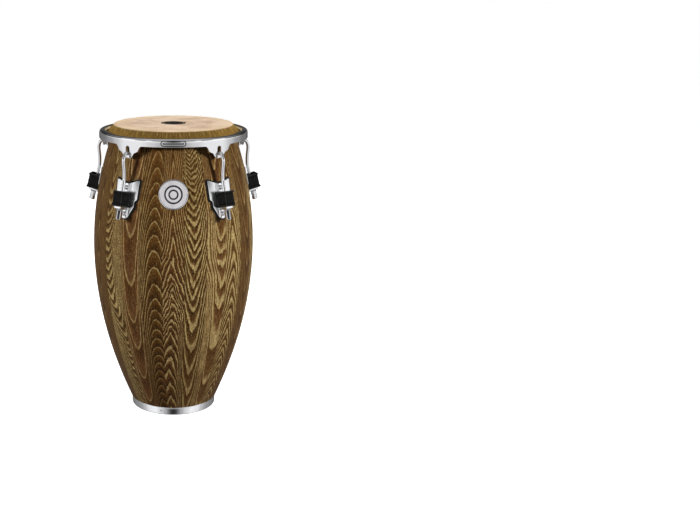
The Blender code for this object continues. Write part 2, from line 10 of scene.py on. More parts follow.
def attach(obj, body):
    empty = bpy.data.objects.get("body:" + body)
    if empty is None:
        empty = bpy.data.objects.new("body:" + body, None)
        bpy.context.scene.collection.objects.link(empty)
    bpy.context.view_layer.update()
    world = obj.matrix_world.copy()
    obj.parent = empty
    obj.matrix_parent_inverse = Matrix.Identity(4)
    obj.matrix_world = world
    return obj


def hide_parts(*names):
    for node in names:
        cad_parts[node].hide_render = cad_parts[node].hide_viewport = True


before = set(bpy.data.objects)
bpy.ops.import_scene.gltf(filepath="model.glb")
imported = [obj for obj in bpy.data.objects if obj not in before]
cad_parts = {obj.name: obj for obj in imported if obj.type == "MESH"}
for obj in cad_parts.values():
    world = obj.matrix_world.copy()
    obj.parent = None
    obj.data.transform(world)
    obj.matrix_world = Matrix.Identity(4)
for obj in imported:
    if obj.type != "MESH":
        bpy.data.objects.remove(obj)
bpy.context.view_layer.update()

# ------------------------------------------------------------ sizes, metres
HEIGHT = 0.711
BELLY_R, BELLY_Z = 0.196, 0.410
LOWER_DROP, LOWER_SPAN, LOWER_POWER = 0.0850, 0.380, 1.94
UPPER_DROP, UPPER_SPAN, UPPER_POWER = 0.0226, 0.190, 2.03
WALL = 0.012
SHELL_BOTTOM = 0.0023
EDGE_R, EDGE_Z, EDGE_START = 0.137, 0.7088, 0.7015
RING_R, RING_H, RING_T, RING_ROUND = 0.105, 0.0197, 0.002, 0.0026
RING_FLANGE_R = 0.0905
NAIL_Z, NAIL_AZ = 0.0105, (-17.0, 73.0, 163.0, 253.0)
SKIN_T, COLLAR_DEG, SHOULDER = 0.0016, 49.5, 0.006
HOOP_R, HOOP_Z, HOOP_BAR = 0.1668, 0.6887, 0.0036
FOLD_GAP, FOLD_END_DEG = 0.0007, 145.0
RIM_T, RIM_R, RIM_TOP, RIM_LIP_R, RIM_ROUND = 0.0025, 0.1775, 0.6962, 0.1650, 0.0050
APRON_Z, EAR_TIP_Z = 0.6785, 0.6500
EAR_HALF = [
    (12.9, 0.6785),
    (11.3, 0.6778),
    (10.0, 0.6738),
    (8.9, 0.6672),
    (7.3, 0.6637),
    (5.6, 0.6612),
    (4.4, 0.6556),
    (3.2, 0.6512),
    (1.6, 0.6500),
]
EYE_W, EYE_LOW, EYE_HIGH = 0.0104, 0.6560, 0.6775
LUG_AZ = [36.0 + 72.0 * i for i in range(5)]
GAP, GASKET_T, PLATE_T = 0.0003, 0.0018, 0.0020
GASKET_OFF = GAP
PLATE_OFF = GAP + GASKET_T + GAP
RIB_H, RIB_IN, RIB_OUT = 0.0015, 0.0055, 0.0075
RIB_TOP = PLATE_OFF + PLATE_T + RIB_H
PLATE_HALF = [
    (0.0000, 0.5905),
    (0.0075, 0.5915),
    (0.0298, 0.5985),
    (0.0311, 0.5975),
    (0.0296, 0.5565),
    (0.0288, 0.5548),
    (0.0246, 0.5520),
    (0.0236, 0.5500),
    (0.0224, 0.5380),
    (0.0075, 0.5135),
    (0.0035, 0.5112),
    (0.0000, 0.5108),
]
GASKET_EDGE = 0.0038
BOLT_Z = (0.5810, 0.5215)
ROD_R = 0.0040
TILT = math.radians(14.5)
PIVOT_R, PIVOT_Z = 0.2039, 0.5560
ROD_END, ROD_STRAIGHT = -0.0440, 0.0455
ROD_KNOTS = [
    (0.1918, 0.6120),
    (0.1921, 0.6240),
    (0.1934, 0.6380),
    (0.1930, 0.6480),
    (0.1895, 0.6568),
    (0.1838, 0.6612),
    (0.1775, 0.6622),
    (0.1722, 0.6592),
    (0.1700, 0.6535),
    (0.1697, 0.6480),
]
RECEIVER_HALF, RECEIVER_OUT = 0.0095, 0.0120
RECEIVER_LOW, RECEIVER_HIGH = -0.0215, 0.0195
PAD_HALF, PAD_IN_HALF = 0.0135, 0.0098
PAD_OUT, PAD_IN_OUT, PAD_BACK = 0.0175, 0.0123, -0.0146
PAD_BACK_LOW = -0.0172
PAD_LOW, PAD_HIGH = -0.0165, 0.0205
WASHER_T, WASHER_R = 0.0016, 0.0085
NUT_AF, NUT_LEN = 0.0130, 0.0218
BADGE_R, BADGE_Z, BADGE_OFF, BADGE_T = 0.0340, 0.5710, 0.0004, 0.0015
PAD_REACH = PIVOT_R + PAD_OUT * math.cos(TILT) - PAD_LOW * math.sin(TILT)
AXIS_Y = -(PAD_REACH - BELLY_R) / 2.0

AXIS = Matrix.Translation((0, AXIS_Y, 0))
STATION = [AXIS @ Matrix.Rotation(math.radians(a), 4, "Z") for a in LUG_AZ]
ROD_AXIS = [
    s @ Matrix.Translation((0, -PIVOT_R, PIVOT_Z)) @ Matrix.Rotation(-TILT, 4, "X")
    for s in STATION
]


# ------------------------------------------------------------------ geometry
def shell_r(z):
    if z < BELLY_Z:
        return BELLY_R - LOWER_DROP * ((BELLY_Z - z) / LOWER_SPAN) ** LOWER_POWER
    return BELLY_R - UPPER_DROP * ((z - BELLY_Z) / UPPER_SPAN) ** UPPER_POWER


def shell_lean(z):
    d = 0.0005
    return math.atan2(shell_r(z - d) - shell_r(z + d), 2 * d)


def on_shell(x, z, off):
    a = x / shell_r(z)
    lean = shell_lean(z)
    r = shell_r(z) + off * math.cos(lean)
    return Vector((r * math.sin(a), -r * math.cos(a), z + off * math.sin(lean)))


def spline(knots, per_span):
    pts = [Vector(k) for k in knots]
    pts = [2 * pts[0] - pts[1]] + pts + [2 * pts[-1] - pts[-2]]
    out = []
    for i in range(1, len(pts) - 2):
        a, b, c, d = pts[i - 1], pts[i], pts[i + 1], pts[i + 2]
        for k in range(per_span):
            t = k / per_span
            out.append(
                0.5
                * (
                    2 * b
                    + (c - a) * t
                    + (2 * a - 5 * b + 4 * c - d) * t * t
                    + (3 * b - a - 3 * c + d) * t**3
                )
            )
    out.append(pts[-2])
    return out


def thick_path(mid, t):
    left, right = [], []
    n = len(mid)
    for i, p in enumerate(mid):
        a = mid[max(i - 1, 0)]
        b = mid[min(i + 1, n - 1)]
        d = (Vector(b) - Vector(a)).normalized()
        nrm = Vector((-d.y, d.x)) * (t / 2)
        left.append((p[0] + nrm.x, p[1] + nrm.y))
        right.append((p[0] - nrm.x, p[1] - nrm.y))
    return left, right[::-1]


def fillet(pts, radius, segs=4):
    """A closed outline with its corners rounded."""
    out = []
    n = len(pts)
    for i in range(n):
        p = Vector(pts[i])
        a, b = Vector(pts[i - 1]) - p, Vector(pts[(i + 1) % n]) - p
        la, lb = a.length, b.length
        if la < 1e-7 or lb < 1e-7:
            continue
        turn = math.pi - a.angle(b)
        if turn < 0.02:
            out.append((p.x, p.y))
            continue
        cut = min(radius * math.tan(turn / 2), 0.45 * la, 0.45 * lb)
        p0, p1 = p + a / la * cut, p + b / lb * cut
        for k in range(segs + 1):
            t = k / segs
            q = p0 * (1 - t) ** 2 + p * 2 * t * (1 - t) + p1 * t * t
            out.append((q.x, q.y))
    return out


def arc(cx, cy, r, t0, t1, n):
    return [
        (
            cx + r * math.cos(math.radians(t0 + (t1 - t0) * i / n)),
            cy + r * math.sin(math.radians(t0 + (t1 - t0) * i / n)),
        )
        for i in range(n + 1)
    ]


def smooth01(t):
    t = min(max(t, 0.0), 1.0)
    return t * t * (3 - 2 * t)


def tidy(me, angle=38.0):
    bm = bmesh.new()
    bm.from_mesh(me)
    bmesh.ops.remove_doubles(bm, verts=bm.verts, dist=1e-7)
    bmesh.ops.dissolve_degenerate(bm, dist=1e-8, edges=bm.edges)
    bmesh.ops.recalc_face_normals(bm, faces=bm.faces)
    bm.to_mesh(me)
    bm.free()
    me.shade_smooth()
    me.set_sharp_from_angle(angle=math.radians(angle))


def add(name, me, mat, body, node=None, matrix=None):
    if matrix is not None:
        me.transform(matrix)
    ob = bpy.data.objects.new(name, me)
    bpy.context.scene.collection.objects.link(ob)
    me.materials.clear()
    me.materials.append(mat)
    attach(ob, body)
    if node:
        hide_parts(node)
    return ob


def mesh_of(name, verts, faces):
    me = bpy.data.meshes.new(name)
    me.from_pydata([tuple(v) for v in verts], [], faces)
    me.update()
    return me


def baked(ob_name, me, mods):
    """The mesh with modifiers applied. mods is [(type, {settings})]."""
    ob = bpy.data.objects.new(ob_name + "_work", me)
    bpy.context.scene.collection.objects.link(ob)
    for i, (kind, settings) in enumerate(mods):
        m = ob.modifiers.new(f"m{i}", kind)
        for k, v in settings.items():
            setattr(m, k, v)
    dg = bpy.context.evaluated_depsgraph_get()
    dg.update()
    out = bpy.data.meshes.new_from_object(ob.evaluated_get(dg))
    bpy.data.objects.remove(ob, do_unlink=True)
    out.name = ob_name
    return out


def lathe(name, pts, steps, closed, angle=38.0):
    """Turned piece about the local Z axis from (radius, height) points."""
    verts, rows = [], []
    for r, z in pts:
        if r < 1e-7:
            rows.append([len(verts)] * steps)
            verts.append((0.0, 0.0, z))
        else:
            rows.append(list(range(len(verts), len(verts) + steps)))
            verts += [
                (
                    r * math.sin(2 * math.pi * i / steps),
                    -r * math.cos(2 * math.pi * i / steps),
                    z,
                )
                for i in range(steps)
            ]
    faces = []
    n = len(pts)
    for k in range(n if closed else n - 1):
        a, b = rows[k], rows[(k + 1) % n]
        for i in range(steps):
            j = (i + 1) % steps
            f = []
            for v in (a[i], a[j], b[j], b[i]):
                if v not in f:
                    f.append(v)
            if len(f) > 2:
                faces.append(f)
    me = mesh_of(name, verts, faces)
    tidy(me, angle)
    return me


def inside(p, poly):
    x, y = p
    hit = False
    j = len(poly) - 1
    for i in range(len(poly)):
        xi, yi = poly[i]
        xj, yj = poly[j]
        if (yi > y) != (yj > y) and x < (xj - xi) * (y - yi) / (yj - yi) + xi:
            hit = not hit
        j = i
    return hit


def edge_gap(p, poly):
    best = 1e9
    q = Vector(p)
    for i in range(len(poly)):
        a, b = Vector(poly[i - 1]), Vector(poly[i])
        d = b - a
        t = 0.0 if d.length < 1e-12 else min(max((q - a).dot(d) / d.length_squared, 0), 1)
        best = min(best, (a + d * t - q).length)
    return best


def filled(outline, holes, step_x, step_y, keep, x0=0.0, y0=0.0):
    """Triangles that fill an outline with holes, on an even grid inside it."""
    pts, edges = [], []
    for loop in [outline] + holes:
        s = len(pts)
        pts += [Vector(p) for p in loop]
        edges += [(s + i, s + (i + 1) % len(loop)) for i in range(len(loop))]
    xs = [p[0] for p in outline]
    ys = [p[1] for p in outline]
    i0, i1 = math.floor((min(xs) - x0) / step_x), math.ceil((max(xs) - x0) / step_x)
    j0, j1 = math.floor((min(ys) - y0) / step_y), math.ceil((max(ys) - y0) / step_y)
    for i in range(i0, i1 + 1):
        for j in range(j0, j1 + 1):
            p = (x0 + i * step_x, y0 + j * step_y)
            if not inside(p, outline) or edge_gap(p, outline) < keep:
                continue
            if any(inside(p, h) or edge_gap(p, h) < keep for h in holes):
                continue
            pts.append(Vector(p))
    co, _, faces, *_ = delaunay_2d_cdt(pts, edges, [], 0, 1e-8)
    out = []
    for f in faces:
        c = sum((co[i] for i in f), Vector((0, 0))) / len(f)
        if inside(c, outline) and not any(inside(c, h) for h in holes):
            out.append(tuple(f))
    return [(p.x, p.y) for p in co], out


# ----------------------------------------------------------------- materials
class Paint:
    """A node material built round one Principled shader."""

    def __init__(self, name, **sockets):
        self.mat = bpy.data.materials.new(name)
        self.mat.use_nodes = True
        self.t = self.mat.node_tree
        self.t.nodes.clear()
        out = self.t.nodes.new("ShaderNodeOutputMaterial")
        self.bsdf = self.t.nodes.new("ShaderNodeBsdfPrincipled")
        self.t.links.new(self.bsdf.outputs[0], out.inputs[0])
        for k, v in sockets.items():
            s = self.bsdf.inputs[k.replace("_", " ")]
            s.default_value = (*v, 1.0) if s.type == "RGBA" else v

    def put(self, socket, value):
        if isinstance(value, bpy.types.NodeSocket):
            self.t.links.new(value, socket)
        elif isinstance(value, tuple) and len(value) == 3 and socket.type == "RGBA":
            socket.default_value = (*value, 1.0)
        else:
            socket.default_value = value

    def to(self, name, value):
        self.put(self.bsdf.inputs[name], value)

    def attr(self, name):
        n = self.t.nodes.new("ShaderNodeAttribute")
        n.attribute_name = name
        return n.outputs["Fac"]

    def object(self):
        return self.t.nodes.new("ShaderNodeTexCoord").outputs["Object"]

    def math(self, op, a, b=0.0, c=0.0, clamp=False):
        n = self.t.nodes.new("ShaderNodeMath")
        n.operation = op
        n.use_clamp = clamp
        for s, v in zip(n.inputs, (a, b, c)):
            self.put(s, v)
        return n.outputs[0]

    def span(self, v, a, b, lo=0.0, hi=1.0, soft=True):
        n = self.t.nodes.new("ShaderNodeMapRange")
        n.interpolation_type = "SMOOTHSTEP" if soft else "LINEAR"
        for k, x in zip(
            ("Value", "From Min", "From Max", "To Min", "To Max"), (v, a, b, lo, hi)
        ):
            self.put(n.inputs[k], x)
        return n.outputs[0]

    def xyz(self, x, y, z):
        n = self.t.nodes.new("ShaderNodeCombineXYZ")
        for s, v in zip(n.inputs, (x, y, z)):
            self.put(s, v)
        return n.outputs[0]

    def parts(self, v):
        n = self.t.nodes.new("ShaderNodeSeparateXYZ")
        self.put(n.inputs[0], v)
        return n.outputs[0], n.outputs[1], n.outputs[2]

    def scaled(self, v, s):
        n = self.t.nodes.new("ShaderNodeVectorMath")
        n.operation = "MULTIPLY"
        self.put(n.inputs[0], v)
        n.inputs[1].default_value = s
        return n.outputs[0]

    def noise(self, v, scale, detail=2.0, rough=0.5, distort=0.0):
        n = self.t.nodes.new("ShaderNodeTexNoise")
        self.put(n.inputs["Vector"], v)
        n.inputs["Scale"].default_value = scale
        n.inputs["Detail"].default_value = detail
        n.inputs["Roughness"].default_value = rough
        n.inputs["Distortion"].default_value = distort
        return n.outputs["Fac"]

    def cells(self, v, scale, feature="F1", out="Distance"):
        n = self.t.nodes.new("ShaderNodeTexVoronoi")
        n.feature = feature
        self.put(n.inputs["Vector"], v)
        n.inputs["Scale"].default_value = scale
        return n.outputs[out]

    def mix(self, f, a, b, mode="MIX"):
        n = self.t.nodes.new("ShaderNodeMix")
        n.data_type = "RGBA"
        n.blend_type = mode
        self.put(n.inputs[0], f)
        self.put(n.inputs[6], a)
        self.put(n.inputs[7], b)
        return n.outputs[2]

    def bump(self, height, strength, distance):
        n = self.t.nodes.new("ShaderNodeBump")
        n.inputs["Strength"].default_value = strength
        n.inputs["Distance"].default_value = distance
        self.put(n.inputs["Height"], height)
        self.t.links.new(n.outputs[0], self.bsdf.inputs["Normal"])


def srgb(r, g, b, gain=1.0):
    def f(v):
        v /= 255.0
        return v / 12.92 if v < 0.04045 else ((v + 0.055) / 1.055) ** 2.4

    return (f(r) * gain, f(g) * gain, f(b) * gain)


def wood():
    p = Paint("stained_ash", Coat_Roughness=0.25, Specular_IOR_Level=0.08, Specular_Tint=(1.0, 0.82, 0.6))
    ring, um, zm = p.attr("ring"), p.attr("um"), p.attr("zm")
    duty, gold, tone = p.math("MULTIPLY", p.attr("duty"), 0.78), p.attr("gold"), p.attr("tone")
    red, seam, sid, pitch = p.attr("red"), p.attr("seam"), p.attr("sid"), p.attr("pitch")

    def grain(across, along, detail, rough=0.5, seed=0.0):
        v = p.xyz(
            p.math("MULTIPLY", um, across), p.math("MULTIPLY", zm, along), p.math("ADD", sid, seed)
        )
        return p.noise(v, 1.0, detail, rough)

    big = grain(0.11, 0.022, 2)
    jag = grain(0.75, 0.12, 3, 0.6)
    fibre = grain(1.5, 0.09, 3, 0.6)
    dash = grain(1.1, 0.26, 2, 0.55, 3.0)
    speck = grain(0.62, 0.20, 3, 0.7, 9.0)
    fine = grain(5.5, 0.8, 2, 0.6)
    streak = grain(0.34, 0.03, 3, 0.65, 21.0)
    blotch = grain(0.40, 0.26, 3, 0.65, 33.0)
    shove = p.math("MULTIPLY", p.math("SUBTRACT", big, 0.5), 15.0)
    shove = p.math("MULTIPLY_ADD", p.math("SUBTRACT", jag, 0.5), 8.0, shove)
    ph = p.math("MULTIPLY_ADD", shove, pitch, ring)
    t = p.math("FRACT", ph)
    rise = p.span(t, 0.0, 0.06)
    fall = p.span(
        p.math("SUBTRACT", t, duty), -0.05, p.math("MULTIPLY_ADD", duty, 0.45, 0.04), 1.0, 0.0
    )
    band = p.math("MULTIPLY", rise, fall)
    pores = p.span(dash, 0.38, 0.58)
    laid = p.math("MULTIPLY", band, p.math("MULTIPLY_ADD", pores, 0.62, 0.38))
    stray = p.math("MULTIPLY", p.span(speck, 0.53, 0.67), 0.36)
    fullness = p.math("MULTIPLY", gold, p.span(grain(0.16, 0.035, 2, 0.5, 15.0), 0.32, 0.62, 0.62, 1.08))
    mask = p.math("MULTIPLY", p.math("MAXIMUM", laid, stray), fullness, clamp=True)
    late = p.span(t, duty, 1.0)
    dark = p.mix(red, srgb(48, 29, 8), srgb(44, 16, 7))
    mid = p.mix(red, srgb(94, 60, 17), srgb(102, 60, 31))
    pale = p.mix(red, srgb(120, 85, 42), srgb(128, 87, 57))
    body = p.mix(tone, p.mix(late, mid, dark), p.mix(late, pale, mid))
    body = p.mix(p.span(fibre, 0.32, 0.68), body, p.mix(0.42, body, (0.014, 0.006, 0.001)))
    warm = p.math("MULTIPLY", p.span(big, 0.35, 0.75), p.math("MULTIPLY_ADD", tone, 0.45, 0.06))
    body = p.mix(warm, body, srgb(114, 78, 32))
    filler = p.mix(p.span(fine, 0.3, 0.7), srgb(214, 190, 132), srgb(176, 150, 94))
    col = p.mix(mask, body, filler)
    hole = p.math("MULTIPLY", p.span(speck, 0.50, 0.36), p.math("SUBTRACT", 0.62, p.math("MULTIPLY", tone, 0.3)))
    col = p.mix(hole, col, srgb(44, 26, 9))
    gain = p.math("MULTIPLY_ADD", p.math("SUBTRACT", streak, 0.5), 1.7, 1.02)
    gain = p.math("MULTIPLY_ADD", p.math("SUBTRACT", blotch, 0.5), 1.1, gain)
    gain = p.math("MAXIMUM", gain, 0.3)
    col = p.mix(1.0, col, p.xyz(gain, gain, gain), "MULTIPLY")
    joint = p.span(seam, 0.15, 0.75, 0.6, 0.0)
    col = p.mix(joint, col, (0.010, 0.005, 0.002))
    p.to("Base Color", col)
    p.to("Roughness", p.math("MULTIPLY_ADD", fibre, 0.16, p.math("MULTIPLY_ADD", mask, 0.12, 0.38)))
    p.to("Coat Weight", p.math("MULTIPLY_ADD", fine, 0.03, 0.02))
    h = p.math("MULTIPLY_ADD", mask, -0.8, p.math("MULTIPLY", fine, 0.35))
    h = p.math("MULTIPLY_ADD", hole, -0.4, h)
    h = p.math("MULTIPLY_ADD", joint, -0.6, h)
    p.bump(h, 0.35, 0.00025)
    return p.mat


def chrome(name="chrome", rough=0.045, tint=(0.86, 0.86, 0.88)):
    p = Paint(name, Metallic=1.0)
    o = p.object()
    haze = p.noise(o, 60.0, 4, 0.6)
    rub = p.noise(p.scaled(o, (900.0, 900.0, 120.0)), 1.0, 2, 0.5)
    p.to("Base Color", p.mix(haze, tint, tuple(c * 0.94 for c in tint)))
    p.to(
        "Roughness",
        p.math("MULTIPLY_ADD", haze, 0.05, p.math("MULTIPLY_ADD", rub, 0.03, rough - 0.02)),
    )
    p.bump(p.math("MULTIPLY_ADD", haze, 0.5, p.math("MULTIPLY", rub, 0.06)), 0.05, 0.0002)
    return p.mat


def brushed(name, tint, rough, stretch):
    p = Paint(name, Metallic=1.0)
    o = p.object()
    lines = p.noise(p.scaled(o, stretch), 1.0, 3, 0.65)
    blot = p.noise(o, 70.0, 3, 0.5)
    p.to("Base Color", p.mix(lines, tint, tuple(c * 0.82 for c in tint)))
    p.to("Roughness", p.math("MULTIPLY_ADD", lines, 0.22, p.math("MULTIPLY_ADD", blot, 0.1, rough)))
    p.bump(lines, 0.15, 0.0001)
    return p.mat


def hide():
    p = Paint("hide", Subsurface_Radius=(0.004, 0.0025, 0.0015))
    rad, part, am, sm = p.attr("rad"), p.attr("part"), p.attr("am"), p.attr("sm")
    o = p.object()
    cloud = p.noise(o, 17.0, 5, 0.62, 0.5)
    fleck = p.noise(o, 150.0, 4, 0.7)
    hair = p.cells(p.scaled(o, (900.0, 900.0, 900.0)), 1.0)
    top = p.mix(p.span(cloud, 0.36, 0.66), srgb(226, 200, 173), srgb(194, 162, 134))
    top = p.mix(p.math("MULTIPLY", p.span(fleck, 0.5, 0.75), 0.45), top, srgb(184, 150, 116))
    warm = p.span(rad, 95.0, 136.0, 0.0, 0.45)
    top = p.mix(warm, top, srgb(228, 202, 160))
    wide = p.noise(p.xyz(p.math("MULTIPLY", am, 0.16), p.math("MULTIPLY", sm, 0.03), 2.0), 1.0, 3)
    streak = p.noise(p.xyz(p.math("MULTIPLY", am, 0.7), p.math("MULTIPLY", sm, 0.05), 5.0), 1.0, 3, 0.6)
    side = p.mix(p.span(wide, 0.36, 0.64), srgb(116, 88, 38), srgb(150, 118, 54))
    # the whole collar darkened further: partly its own darker colour, partly painted shade
    side = p.mix(0.22, side, srgb(60, 42, 14))
    # painted shade: the collar darkened towards the front centre (am above 330)
    side = p.mix(p.math("MULTIPLY", p.span(am, 330.0, 500.0), 0.62), side, srgb(70, 50, 17))
    side = p.mix(p.math("MULTIPLY", p.span(streak, 0.5, 0.68), 0.62), side, srgb(172, 142, 82))
    side = p.mix(p.math("MULTIPLY", p.span(streak, 0.5, 0.32), 0.62), side, srgb(66, 47, 17))
    fold = p.mix(fleck, srgb(246, 232, 196), srgb(216, 186, 134))
    col = p.mix(p.span(part, 0.35, 0.9), top, side)
    col = p.mix(p.span(part, 1.45, 1.8), col, fold)
    ink = p.math("MULTIPLY", p.span(rad, 30.2, 30.7, 1.0, 0.0), p.span(part, 0.2, 0.3, 1.0, 0.0))
    for a, b in ((24.8, 25.6),):
        ring = p.math("MULTIPLY", p.span(rad, a - 0.15, a + 0.15), p.span(rad, b - 0.15, b + 0.15, 1.0, 0.0))
        ink = p.math("MULTIPLY", ink, p.math("SUBTRACT", 1.0, ring))
    worn = p.span(fleck, 0.25, 0.45, 0.90, 1.0)
    col = p.mix(p.math("MULTIPLY", ink, worn), col, (0.006, 0.006, 0.007))
    p.to("Base Color", col)
    p.to("Roughness", p.math("MULTIPLY_ADD", fleck, 0.25, p.math("MULTIPLY_ADD", ink, 0.25, 0.44)))
    p.to("Specular IOR Level", p.span(ink, 0.0, 1.0, 0.28, 0.05))
    p.bump(
        p.math("MULTIPLY_ADD", hair, 0.4, p.math("MULTIPLY_ADD", fleck, 0.8, p.math("MULTIPLY", cloud, 1.0))),
        0.3,
        0.0003,
    )
    return p.mat


def rubber():
    p = Paint("gasket_rubber", Specular_IOR_Level=0.3)
    o = p.object()
    g = p.noise(o, 900.0, 3, 0.6)
    b = p.noise(o, 90.0, 3, 0.5)
    p.to("Base Color", p.mix(b, (0.006, 0.006, 0.0065), (0.014, 0.014, 0.015)))
    p.to("Roughness", p.math("MULTIPLY_ADD", g, 0.2, 0.58))
    p.bump(g, 0.25, 0.0001)
    return p.mat


def leather():
    p = Paint("pad_leather", Specular_IOR_Level=0.15)
    o = p.object()
    run, up, edge = p.attr("run"), p.attr("up"), p.attr("edge")
    warp = p.noise(o, 260.0, 2)
    w = p.t.nodes.new("ShaderNodeVectorMath")
    w.operation = "MULTIPLY_ADD"
    p.put(w.inputs[0], p.xyz(warp, warp, warp))
    w.inputs[1].default_value = (0.0012, 0.0012, 0.0012)
    p.put(w.inputs[2], o)
    grain = p.cells(w.outputs[0], 1100.0, "DISTANCE_TO_EDGE")
    crease = p.noise(o, 240.0, 4, 0.6, 0.6)
    wear = p.noise(o, 75.0, 4, 0.6, 0.4)
    valley = p.span(grain, 0.0, 0.16)
    col = p.mix(valley, (0.0010, 0.0009, 0.0009), (0.0030, 0.0028, 0.0027))
    col = p.mix(p.math("MULTIPLY", p.span(wear, 0.5, 0.72), 0.6), col, (0.012, 0.011, 0.0105))
    # rubbed wear and painted highlight: hem crests and corner folds lightened
    rubbed_wear_and_highlight = p.math("MULTIPLY", p.span(edge, 0.25, 0.95), p.span(wear, 0.25, 0.6, 0.35, 0.95))
    col = p.mix(rubbed_wear_and_highlight, col, (0.072, 0.068, 0.066))
    # painted shade: the grooves under the hems and beside the corner darkened
    col = p.mix(p.span(edge, -0.1, -0.7), col, (0.0004, 0.0004, 0.0004))
    dash = p.span(p.math("FRACT", p.math("MULTIPLY", run, 0.42)), 0.25, 0.32)
    dash = p.math("MULTIPLY", dash, p.span(p.math("FRACT", p.math("MULTIPLY", run, 0.42)), 0.93, 1.0, 1.0, 0.0))
    lines = None
    for at in (5.3, 32.5):
        d = p.math("ABSOLUTE", p.math("SUBTRACT", up, at))
        line = p.span(d, 0.22, 0.36, 1.0, 0.0)
        lines = line if lines is None else p.math("ADD", lines, line)
    stitch = p.math("MULTIPLY", dash, lines, clamp=True)
    col = p.mix(stitch, col, (0.022, 0.021, 0.020))
    p.to("Base Color", col)
    rough = p.math("MULTIPLY_ADD", wear, 0.30, p.math("MULTIPLY_ADD", valley, -0.08, 0.30))
    p.to("Roughness", p.math("MULTIPLY_ADD", stitch, 0.3, rough))
    h = p.math("MULTIPLY_ADD", crease, 1.1, p.math("MULTIPLY", valley, 0.55))
    p.bump(p.math("MULTIPLY_ADD", stitch, 1.5, h), 0.55, 0.00022)
    return p.mat


def badge_paint():
    p = Paint("badge_metal", Metallic=1.0)
    o, rad = p.object(), p.attr("rad")
    brush = p.noise(p.scaled(o, (2600.0, 2600.0, 16.0)), 1.0, 3, 0.7)
    cloud = p.noise(p.scaled(o, (60.0, 60.0, 8.0)), 1.0, 2, 0.5)
    ink = None
    for a, b in ((8.0, 11.6), (17.4, 21.2)):
        ring = p.math("MULTIPLY", p.span(rad, a - 0.12, a + 0.12), p.span(rad, b - 0.12, b + 0.12, 1.0, 0.0))
        ink = ring if ink is None else p.math("ADD", ink, ring, clamp=True)
    edge = p.span(rad, 30.9, 31.3)
    field = p.mix(p.span(brush, 0.3, 0.7), (0.93, 0.89, 0.92), (0.76, 0.73, 0.75))
    field = p.mix(p.span(cloud, 0.4, 0.7), field, (0.95, 0.92, 0.94))
    col = p.mix(edge, field, (0.90, 0.90, 0.93))
    p.to("Base Color", p.mix(ink, col, (0.010, 0.010, 0.012)))
    p.to("Metallic", p.span(ink, 0.0, 1.0, p.span(edge, 0.0, 1.0, 0.45, 1.0), 0.0))
    p.to("Roughness", p.math("MULTIPLY_ADD", brush, 0.16, p.span(edge, 0.0, 1.0, 0.26, 0.06)))
    p.bump(p.math("MULTIPLY_ADD", ink, -1.2, p.math("MULTIPLY", brush, 0.25)), 0.25, 0.0001)
    return p.mat


def label_paint():
    p = Paint("label_field", Specular_IOR_Level=0.12)
    o = p.object()
    g = p.noise(o, 700.0, 3, 0.6)
    b = p.noise(o, 80.0, 2)
    p.to("Base Color", p.mix(b, (0.004, 0.004, 0.005), (0.010, 0.010, 0.012)))
    p.to("Roughness", p.math("MULTIPLY_ADD", g, 0.15, 0.45))
    p.bump(g, 0.1, 0.0001)
    return p.mat


WOOD = wood()
CHROME = chrome()
PLATE_CHROME = chrome("plate_chrome", 0.16, (0.84, 0.85, 0.86))
HIDE = hide()
RUBBER = rubber()
LEATHER = leather()
BADGE = badge_paint()
LABEL = label_paint()
ZINC = brushed("plated_steel", (0.55, 0.55, 0.58), 0.3, (500.0, 500.0, 500.0))
NAIL = brushed("nail_steel", (0.55, 0.54, 0.53), 0.2, (900.0, 900.0, 900.0))

# --------------------------------------------------------------------- shell
STAVES = 23
STAVE_DEG = 360.0 / STAVES
FIRST_SEAM = -8.0
COLS = 14
UP = 1
DOWN = -1
